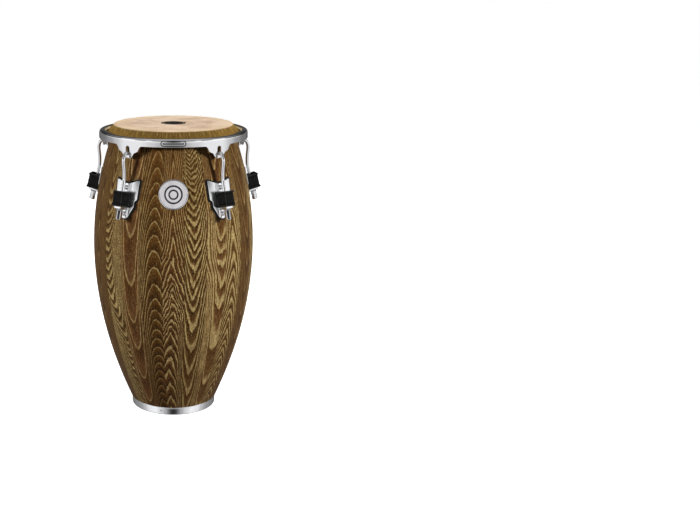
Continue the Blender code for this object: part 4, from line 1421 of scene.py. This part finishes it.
def build_nut():
    """A long hexagon with turned chamfers at both ends and a bore."""
    high = washer_low - 0.0003
    low = high - NUT_LEN
    steps = 72
    flat = NUT_AF / 2
    rows = []
    corner = flat / math.cos(math.pi / 6)
    rows.append(("r", 0.0047, high))
    rows.append(("r", flat * 0.97, high))
    for f in (0.0, 0.35, 0.7, 1.0):
        rows.append(("m", flat * 0.985 + (corner - flat * 0.985) * f, high - 0.0003 - f * 0.0009))
    for f in (1.0, 0.7, 0.35, 0.0):
        rows.append(("m", flat * 0.985 + (corner - flat * 0.985) * f, low + 0.0003 + f * 0.0009))
    rows.append(("r", flat * 0.96, low))
    rows.append(("r", 0.0047, low))
    verts, faces = [], []
    for kind, r, z in rows:
        for i in range(steps):
            t = 2 * math.pi * i / steps
            q = r
            if kind == "m":
                w = (t % (math.pi / 3)) - math.pi / 6
                edge = flat / math.cos(w)
                q = min(edge, r, corner - 0.00025)
            verts.append((q * math.sin(t), -q * math.cos(t), z))
    n = len(rows)
    for k in range(n):
        for i in range(steps):
            j = (i + 1) % steps
            k2 = (k + 1) % n
            faces.append((k * steps + i, k * steps + j, k2 * steps + j, k2 * steps + i))
    me = mesh_of("nut", verts, faces)
    tidy(me, 24)
    return me


nut_me = build_nut()


def build_rod():
    def local(r, z):
        dr, dz = r - PIVOT_R, z - PIVOT_Z
        return (
            dr * math.cos(TILT) + dz * math.sin(TILT),
            -dr * math.sin(TILT) + dz * math.cos(TILT),
        )

    pts = [(0.0, ROD_STRAIGHT - 0.012), (0.0, ROD_STRAIGHT)]
    pts += [local(r, z) for r, z in ROD_KNOTS]
    bent = [Vector((p.x, p.y)) for p in spline(pts, 8)[8:]]
    start = [Vector((0.0, ROD_END + 0.0008 + (ROD_STRAIGHT - ROD_END - 0.002) * i / 40)) for i in range(41)]
    mid = start + bent
    # a chamfered lower end and a rounded hook tip, turned by stepping the radius at both ends of the path
    steps = 28
    verts, faces = [], []
    rows = 0

    def ring(c, d, r):
        nonlocal rows
        side = Vector((-d.y, d.x))
        for i in range(steps):
            t = 2 * math.pi * i / steps
            o = side * (r * math.cos(t))
            verts.append((r * math.sin(t), -(c.x + o.x), c.y + o.y))
        rows += 1

    d0 = (mid[1] - mid[0]).normalized()
    for back, r in ((0.0008, 0.0026), (0.0005, 0.0034), (0.0, ROD_R)):
        ring(mid[0] - d0 * back, d0, r)
    for i in range(1, len(mid) - 1):
        ring(mid[i], (mid[i + 1] - mid[i - 1]).normalized(), ROD_R)
    d1 = (mid[-1] - mid[-2]).normalized()
    for ahead, r in ((-0.0018, ROD_R), (-0.0007, 0.0037), (-0.0002, 0.0031), (0.0, 0.0022)):
        ring(mid[-1] + d1 * ahead, d1, r)
    for k in range(rows - 1):
        for i in range(steps):
            j = (i + 1) % steps
            faces.append((k * steps + i, k * steps + j, (k + 1) * steps + j, (k + 1) * steps + i))
    faces.append(tuple(range(steps))[::-1])
    faces.append(tuple((rows - 1) * steps + i for i in range(steps)))
    me = mesh_of("rod", verts, faces)
    tidy(me, 50)
    return me


rod_me = build_rod()


# ------------------------------------------------------------------ soft pads
def settled(me, held, pressure, growth, cap, scale=20.0, frames=20):
    """Where the points of padded leather come to rest with its hems held, none
    moving further than cap. The cloth is solved at an enlarged scale."""
    ob = bpy.data.objects.new("settling", me.copy())
    scene = bpy.context.scene
    scene.collection.objects.link(ob)
    ob.data.transform(Matrix.Scale(scale, 4))
    group = ob.vertex_groups.new(name="held")
    for i, w in enumerate(held):
        if w > 0.0:
            group.add([i], w, "REPLACE")
    m = ob.modifiers.new("settle", "CLOTH")
    m.settings.quality = 6
    m.settings.mass = 0.3
    m.settings.vertex_group_mass = "held"
    m.settings.tension_stiffness = 12.0
    m.settings.compression_stiffness = 12.0
    m.settings.shear_stiffness = 4.0
    m.settings.bending_stiffness = 0.4
    m.settings.use_pressure = True
    m.settings.uniform_pressure_force = pressure
    m.settings.shrink_min = -growth
    m.settings.effector_weights.gravity = 0.0
    m.collision_settings.use_collision = False
    m.collision_settings.use_self_collision = False
    for f in range(1, frames + 1):
        scene.frame_set(f)
    dg = bpy.context.evaluated_depsgraph_get()
    co = np.empty(len(me.vertices) * 3, np.float32)
    ob.evaluated_get(dg).data.vertices.foreach_get("co", co)
    bpy.data.objects.remove(ob, do_unlink=True)
    scene.frame_set(1)
    was = np.array([v.co for v in me.vertices])
    move = co.reshape(-1, 3) / scale - was
    far = np.linalg.norm(move, axis=1, keepdims=True)
    return was, move * np.minimum(1.0, cap / np.maximum(far, 1e-9))


def build_pad():
    """Sleeve of padded leather: hemmed top and bottom, open towards the shell."""
    c = 0.0040
    back = PAD_BACK + 0.0004
    side = [back + (PAD_OUT - c - back) * k / 14 for k in range(14)]
    outer = [(-PAD_HALF, y) for y in side]
    outer += [(-PAD_HALF + c + x, PAD_OUT - c + y) for x, y in arc(0, 0, c, 180, 90, 8)]
    flat = PAD_HALF - c
    outer += [(-flat + 2 * flat * k / 12, PAD_OUT) for k in range(1, 12)]
    outer += [(PAD_HALF - c + x, PAD_OUT - c + y) for x, y in arc(0, 0, c, 90, 0, 8)]
    outer += [(PAD_HALF, y) for y in side[::-1]]
    base = [Vector(p) for p in outer]
    n = len(base)
    normals = []
    for i in range(n):
        d = (base[min(i + 1, n - 1)] - base[max(i - 1, 0)]).normalized()
        normals.append(Vector((-d.y, d.x)))
    run = [0.0]
    for p, q in zip(base, base[1:]):
        run.append(run[-1] + (q - p).length * 1000)
    corners = (run[18], run[n - 19])
    rows = 52
    body, wall = 0.0017, 0.0031
    start, inner, up = [], [], []
    for k in range(rows + 1):
        w = PAD_LOW + 0.0004 + (PAD_HIGH - PAD_LOW - 0.0008) * k / rows
        up.append(w)
        reach = (PAD_BACK_LOW - PAD_BACK) * (PAD_HIGH - w) / (PAD_HIGH - PAD_LOW)
        for i, b in enumerate(base):
            deep = min(max((PAD_OUT - 0.005 - b.y) / (PAD_OUT - 0.005 - PAD_BACK), 0), 1)
            q = Vector((b.x, b.y + reach * deep))
            p = q - normals[i] * body
            start.append((p.x, -p.y, w))
            g = q - normals[i] * wall
            g.x = min(max(g.x, -PAD_IN_HALF - 0.0004), PAD_IN_HALF + 0.0004)
            g.y = min(g.y, PAD_IN_OUT + 0.0012)
            inner.append((g.x, -g.y, min(w, PAD_HIGH - 0.0018)))
    # the top hem is turned in over the receiver, towards the rod
    for w in (PAD_HIGH - 0.0005, PAD_HIGH - 0.0014):
        for b in base:
            inner.append((b.x * 0.385, -(b.y * 0.526 if b.y > 0 else b.y), w))
    o = (rows + 1) * n
    faces = []
    for k in range(rows):
        for i in range(n - 1):
            a = k * n + i
            faces.append((a, a + 1, a + n + 1, a + n))
            faces.append((o + a, o + a + n, o + a + n + 1, o + a + 1))
    top = [rows * n, 2 * o, 2 * o + n, o + rows * n]
    for i in range(n - 1):
        faces.append((i, o + i, o + i + 1, i + 1))
        for a, b in zip(top, top[1:]):
            faces.append((a + i, a + i + 1, b + i + 1, b + i))
    faces.append(tuple(a for a in top))
    faces.append(tuple(a + n - 1 for a in top[::-1]))
    for k in range(rows):
        a, b = k * n, (k + 1) * n
        faces.append((a, b, o + b, o + a))
        a, b = k * n + n - 1, (k + 1) * n + n - 1
        faces.append((a, o + a, o + b, b))
    me = mesh_of("pad", start + inner, faces)
    bm = bmesh.new()
    bm.from_mesh(me)
    bmesh.ops.recalc_face_normals(bm, faces=bm.faces)
    bm.to_mesh(me)
    bm.free()
    low_seam, high_seam = 6.6, 5.8
    held = []
    for k in range(rows + 1):
        mm, top = (up[k] - PAD_LOW) * 1000, (PAD_HIGH - up[k]) * 1000
        for i in range(n):
            w = 1.0 if mm < low_seam or top < high_seam or i < 2 or i > n - 3 else 0.0
            if min(abs(run[i] - x) for x in corners) < 1.1:
                w = max(w, 0.8)
            held.append(w)
    was, move = settled(me, held + [1.0] * (o + 2 * n), 9.0, 0.07, 0.0016)
    at = {"run": [], "up": [], "edge": []}
    final = []
    for k in range(rows + 1):
        w = up[k]
        mm, top = (w - PAD_LOW) * 1000, (PAD_HIGH - w) * 1000
        for i in range(n):
            hem = 0.0
            for x, hw in ((mm - 3.1, 3.3), (top - 2.7, 2.9)):
                if abs(x) < hw:
                    hem = max(hem, 0.00165 * (1 - (abs(x) / hw) ** 4) ** 0.5)
            groove = 0.0
            for x in (mm - low_seam - 0.2, top - high_seam - 0.2):
                if abs(x) < 0.9:
                    groove = 0.00055 * (1 - (x / 0.9) ** 2)
            flare = 0.0007 * smooth01((4.0 - mm) / 4.0) + 0.0003 * smooth01((3.0 - top) / 3.0)
            near = min((abs(run[i] - x) for x in corners))
            fold = 0.0015 * math.exp(-((near / 0.75) ** 2)) - 0.0006 * math.exp(-(((near - 2.0) / 0.8) ** 2))
            q = base[i] * 60.0
            crease = 0.00035 * noise.noise(Vector((q.x * 2.3, q.y * 2.3, w * 110)))
            crease += 0.00018 * noise.noise(Vector((q.x * 6.0, q.y * 6.0, w * 300)))
            off = hem - groove + flare + fold + crease
            if min(mm, top) < 1.2:
                off -= 0.0010 * (1 - min(mm, top) / 1.2) ** 2
            j = k * n + i
            p = was[j] + move[j]
            final.append((p[0] + normals[i].x * off, p[1] - normals[i].y * off, p[2]))
            at["run"].append(run[i])
            at["up"].append(mm)
            # edge: above zero, rubbed wear and a painted highlight on the hem crests and corner folds; below
            # zero, painted shade in the grooves under the hems and beside the corner
            worn = math.exp(-((near / 0.9) ** 2))
            worn = max(worn, smooth01((1.9 - abs(mm - 1.6)) / 1.6), 0.8 * smooth01((1.7 - abs(top - 1.5)) / 1.5))
            at["edge"].append(worn - 1.2 * groove / 0.00055 - 0.9 * math.exp(-(((near - 2.1) / 0.6) ** 2)))
    me = mesh_of("pad", final + inner, faces)
    for name, v in at.items():
        a = me.attributes.new(name, "FLOAT", "POINT")
        a.data.foreach_set("value", np.array(v + v + v[-n:] * 2, np.float32))
    bm = bmesh.new()
    bm.from_mesh(me)
    bmesh.ops.recalc_face_normals(bm, faces=bm.faces)
    bm.to_mesh(me)
    bm.free()
    out = baked("pad", me, [("SUBSURF", dict(levels=1, render_levels=1))])
    out.shade_smooth()
    return out


pad_me = build_pad()


for i in range(5):
    k = i + 1
    add(f"rubber_{k}", gasket_me.copy(), RUBBER, "shell_body", f"gasket_{k}", STATION[i])
    add(f"plate_{k}", plate_me.copy(), PLATE_CHROME, "shell_body", f"lug_plate_{k}", STATION[i])
    for word, z in zip(("upper", "lower"), BOLT_Z):
        m = (
            STATION[i]
            @ Matrix.Translation(on_shell(0.0, z, 0.0))
            @ Matrix.Rotation(math.pi / 2 - shell_lean(z), 4, "X")
        )
        add(f"{word}_button_{k}", bolt_me.copy(), CHROME, "shell_body", f"{word}_bolt_{k}", m)
    add(f"tower_{k}", receiver_me.copy(), CHROME, "shell_body", f"receiver_{k}", ROD_AXIS[i])
    add(f"disc_{k}", washer_me.copy(), ZINC, "shell_body", f"washer_{k}", ROD_AXIS[i])
    add(f"nut_{k}_long", nut_me.copy(), CHROME, f"nut_{k}", f"tuning_nut_{k}", ROD_AXIS[i])
    add(f"hook_rod_{k}", rod_me.copy(), CHROME, f"rod_{k}", f"tension_rod_{k}", ROD_AXIS[i])
    pad = add(f"sleeve_{k}", pad_me.copy(), LEATHER, "shell_body", f"knee_pad_{k}", ROD_AXIS[i])
    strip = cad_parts[f"nut_plate_{k}"]
    strip.data.materials.clear()
    strip.data.materials.append(ZINC)

# --------------------------------------------------------------------- stage
floor_me = lathe("floor", [(0.0, -0.0004), (0.6, -0.0004), (3.0, -0.0004), (40.0, -0.0004)], 96, False)
floor_paint = Paint("floor_white", Roughness=0.7, Specular_IOR_Level=0.1)
fo = floor_paint.object()
fn = floor_paint.noise(fo, 3.0, 3)
floor_paint.to("Base Color", floor_paint.mix(fn, (0.86, 0.86, 0.86), (0.83, 0.83, 0.835)))
floor_paint.bsdf.inputs["Emission Color"].default_value = (1, 1, 1, 1)
floor_paint.bsdf.inputs["Emission Strength"].default_value = 0.9
floor_me.materials.append(floor_paint.mat)
floor = bpy.data.objects.new("floor", floor_me)
bpy.context.scene.collection.objects.link(floor)
floor.visible_glossy = False
floor.visible_diffuse = False

world = bpy.data.worlds.new("studio")
bpy.context.scene.world = world
world.use_nodes = True
wt = world.node_tree
wt.nodes.clear()
w_out = wt.nodes.new("ShaderNodeOutputWorld")


def w_math(op, a, b=0.0, c=0.0):
    n = wt.nodes.new("ShaderNodeMath")
    n.operation = op
    for s, v in zip(n.inputs, (a, b, c)):
        if isinstance(v, bpy.types.NodeSocket):
            wt.links.new(v, s)
        else:
            s.default_value = v
    return n.outputs[0]


def w_ramp(fac, stops):
    n = wt.nodes.new("ShaderNodeValToRGB")
    wt.links.new(fac, n.inputs[0])
    el = n.color_ramp.elements
    while len(el) > 1:
        el.remove(el[-1])
    for i, (pos, v) in enumerate(stops):
        e = el[0] if i == 0 else el.new(pos)
        e.position = pos
        e.color = (v, v, v, 1)
    n.color_ramp.interpolation = "EASE"
    return n.outputs[0]


direction = wt.nodes.new("ShaderNodeTexCoord").outputs["Generated"]
sep = wt.nodes.new("ShaderNodeSeparateXYZ")
wt.links.new(direction, sep.inputs[0])
azim = w_math("ARCTAN2", sep.outputs[0], w_math("MULTIPLY", sep.outputs[1], -1.0))
azim = w_math("MULTIPLY", w_math("ABSOLUTE", azim), 1 / math.pi)
elev = w_math("ADD", w_math("MULTIPLY", w_math("ARCSINE", sep.outputs[2]), 1 / math.pi), 0.5)
# brightness from the front (0) round to the back (1), below, at and above the horizon
low = w_ramp(
    azim,
    [
        (0.0, 0.03),
        (0.04, 0.06),
        (0.07, 0.20),
        (0.12, 0.46),
        (0.20, 0.80),
        (0.28, 1.05),
        (0.38, 0.95),
        (0.47, 0.58),
        (0.56, 0.36),
        (0.66, 0.28),
        (0.82, 0.20),
        (1.0, 0.16),
    ],
)
mid = w_ramp(
    azim,
    [
        (0.0, 0.10),
        (0.035, 0.25),
        (0.08, 0.85),
        (0.14, 1.10),
        (0.30, 1.25),
        (0.50, 1.15),
        (0.62, 0.70),
        (0.75, 0.20),
        (1.0, 0.08),
    ],
)
high = w_ramp(
    azim,
    [(0.0, 0.08), (0.05, 0.20), (0.12, 0.34), (0.35, 0.42), (0.6, 0.25), (0.8, 0.10), (1.0, 0.08)],
)


front = w_ramp(
    azim,
    [
        (0.0, 0.34),
        (0.04, 0.38),
        (0.10, 0.50),
        (0.18, 0.70),
        (0.30, 0.94),
        (0.44, 0.94),
        (0.54, 0.60),
        (0.62, 0.36),
        (0.75, 0.20),
        (1.0, 0.08),
    ],
)
tilt = w_ramp(
    azim,
    [
        (0.0, 0.05),
        (0.10, 0.05),
        (0.17, 0.06),
        (0.20, 1.0),
        (0.235, 1.1),
        (0.25, 0.06),
        (0.30, 0.03),
        (0.34, 0.35),
        (0.36, 1.25),
        (0.475, 1.25),
        (0.505, 0.08),
        (0.70, 0.03),
        (1.0, 0.03),
    ],
)


def w_mix(f, a, b, mode="MIX"):
    n = wt.nodes.new("ShaderNodeMix")
    n.data_type = "RGBA"
    n.blend_type = mode
    for s, v in ((n.inputs[0], f), (n.inputs[6], a), (n.inputs[7], b)):
        if isinstance(v, bpy.types.NodeSocket):
            wt.links.new(v, s)
        elif isinstance(v, tuple):
            s.default_value = (*v, 1.0)
        else:
            s.default_value = v
    return n.outputs[2]


def w_step(deg0, deg1):
    return w_ramp(elev, [(0.0, 0.0), (0.5 + deg0 / 180, 0.0), (0.5 + deg1 / 180, 1.0), (1.0, 1.0)])


env = w_mix(w_step(-16, -12), low, front)
env = w_mix(w_step(-5, 1), env, mid)
env = w_mix(w_step(8, 11), env, tilt)
env = w_mix(w_step(21, 27), env, high)
env = w_mix(w_step(55, 72), env, (0.55, 0.55, 0.55))
env = w_mix(w_step(-60, -25), (0.30, 0.30, 0.30), env)
path_ = wt.nodes.new("ShaderNodeLightPath")
fill = w_mix(w_step(-35, 25), (0.175, 0.173, 0.172), (0.078, 0.078, 0.081))
env = w_mix(path_.outputs["Is Diffuse Ray"], env, fill)
env = w_mix(path_.outputs["Is Camera Ray"], env, (1.0, 1.0, 1.0))
bg = wt.nodes.new("ShaderNodeBackground")
wt.links.new(env, bg.inputs[0])
bg.inputs[1].default_value = 1.0
wt.links.new(bg.outputs[0], w_out.inputs[0])


def lamp(name, loc, target, size, energy, glossy=True):
    li = bpy.data.lights.new(name, "AREA")
    li.shape = "DISK"
    li.size = size
    li.energy = energy
    ob = bpy.data.objects.new(name, li)
    bpy.context.scene.collection.objects.link(ob)
    ob.location = loc
    ob.rotation_euler = (Vector(target) - Vector(loc)).to_track_quat("-Z", "Y").to_euler()
    ob.visible_glossy = glossy
    return ob


def aim(az_deg, elev_deg, dist, z):
    a, e = math.radians(az_deg), math.radians(elev_deg)
    return (
        dist * math.cos(e) * math.sin(a),
        AXIS_Y - dist * math.cos(e) * math.cos(a),
        z + dist * math.sin(e),
    )


lamp("key_left", aim(-60, 18, 2.8, 0.45), (0, AXIS_Y, 0.45), 0.42, 53.0, False)
lamp("key_right", aim(58, 18, 2.8, 0.45), (0, AXIS_Y, 0.45), 0.42, 68.0, False)
lamp("top", (0.1, 0.5, 2.8), (0, AXIS_Y, 0.6), 1.2, 25.0, False)

lamp("back", aim(180, 32, 3.0, 0.45), (0, AXIS_Y, 0.45), 1.4, 26.0, False)

cam_data = bpy.data.cameras.new("camera")
cam = bpy.data.objects.new("camera", cam_data)
bpy.context.scene.collection.objects.link(cam)
cam.location = (0.0, AXIS_Y - 2.632, 1.0644)
cam.rotation_euler = (math.radians(90 - 14.911), 0, 0)
cam_data.sensor_width = 36.0
cam_data.lens = 1096.24 / 700 * 36.0
cam_data.shift_x = (350 - 173.45) / 700
bpy.context.scene.camera = cam
bpy.context.scene.view_settings.view_transform = "Standard"
bpy.context.scene.view_settings.look = "None"
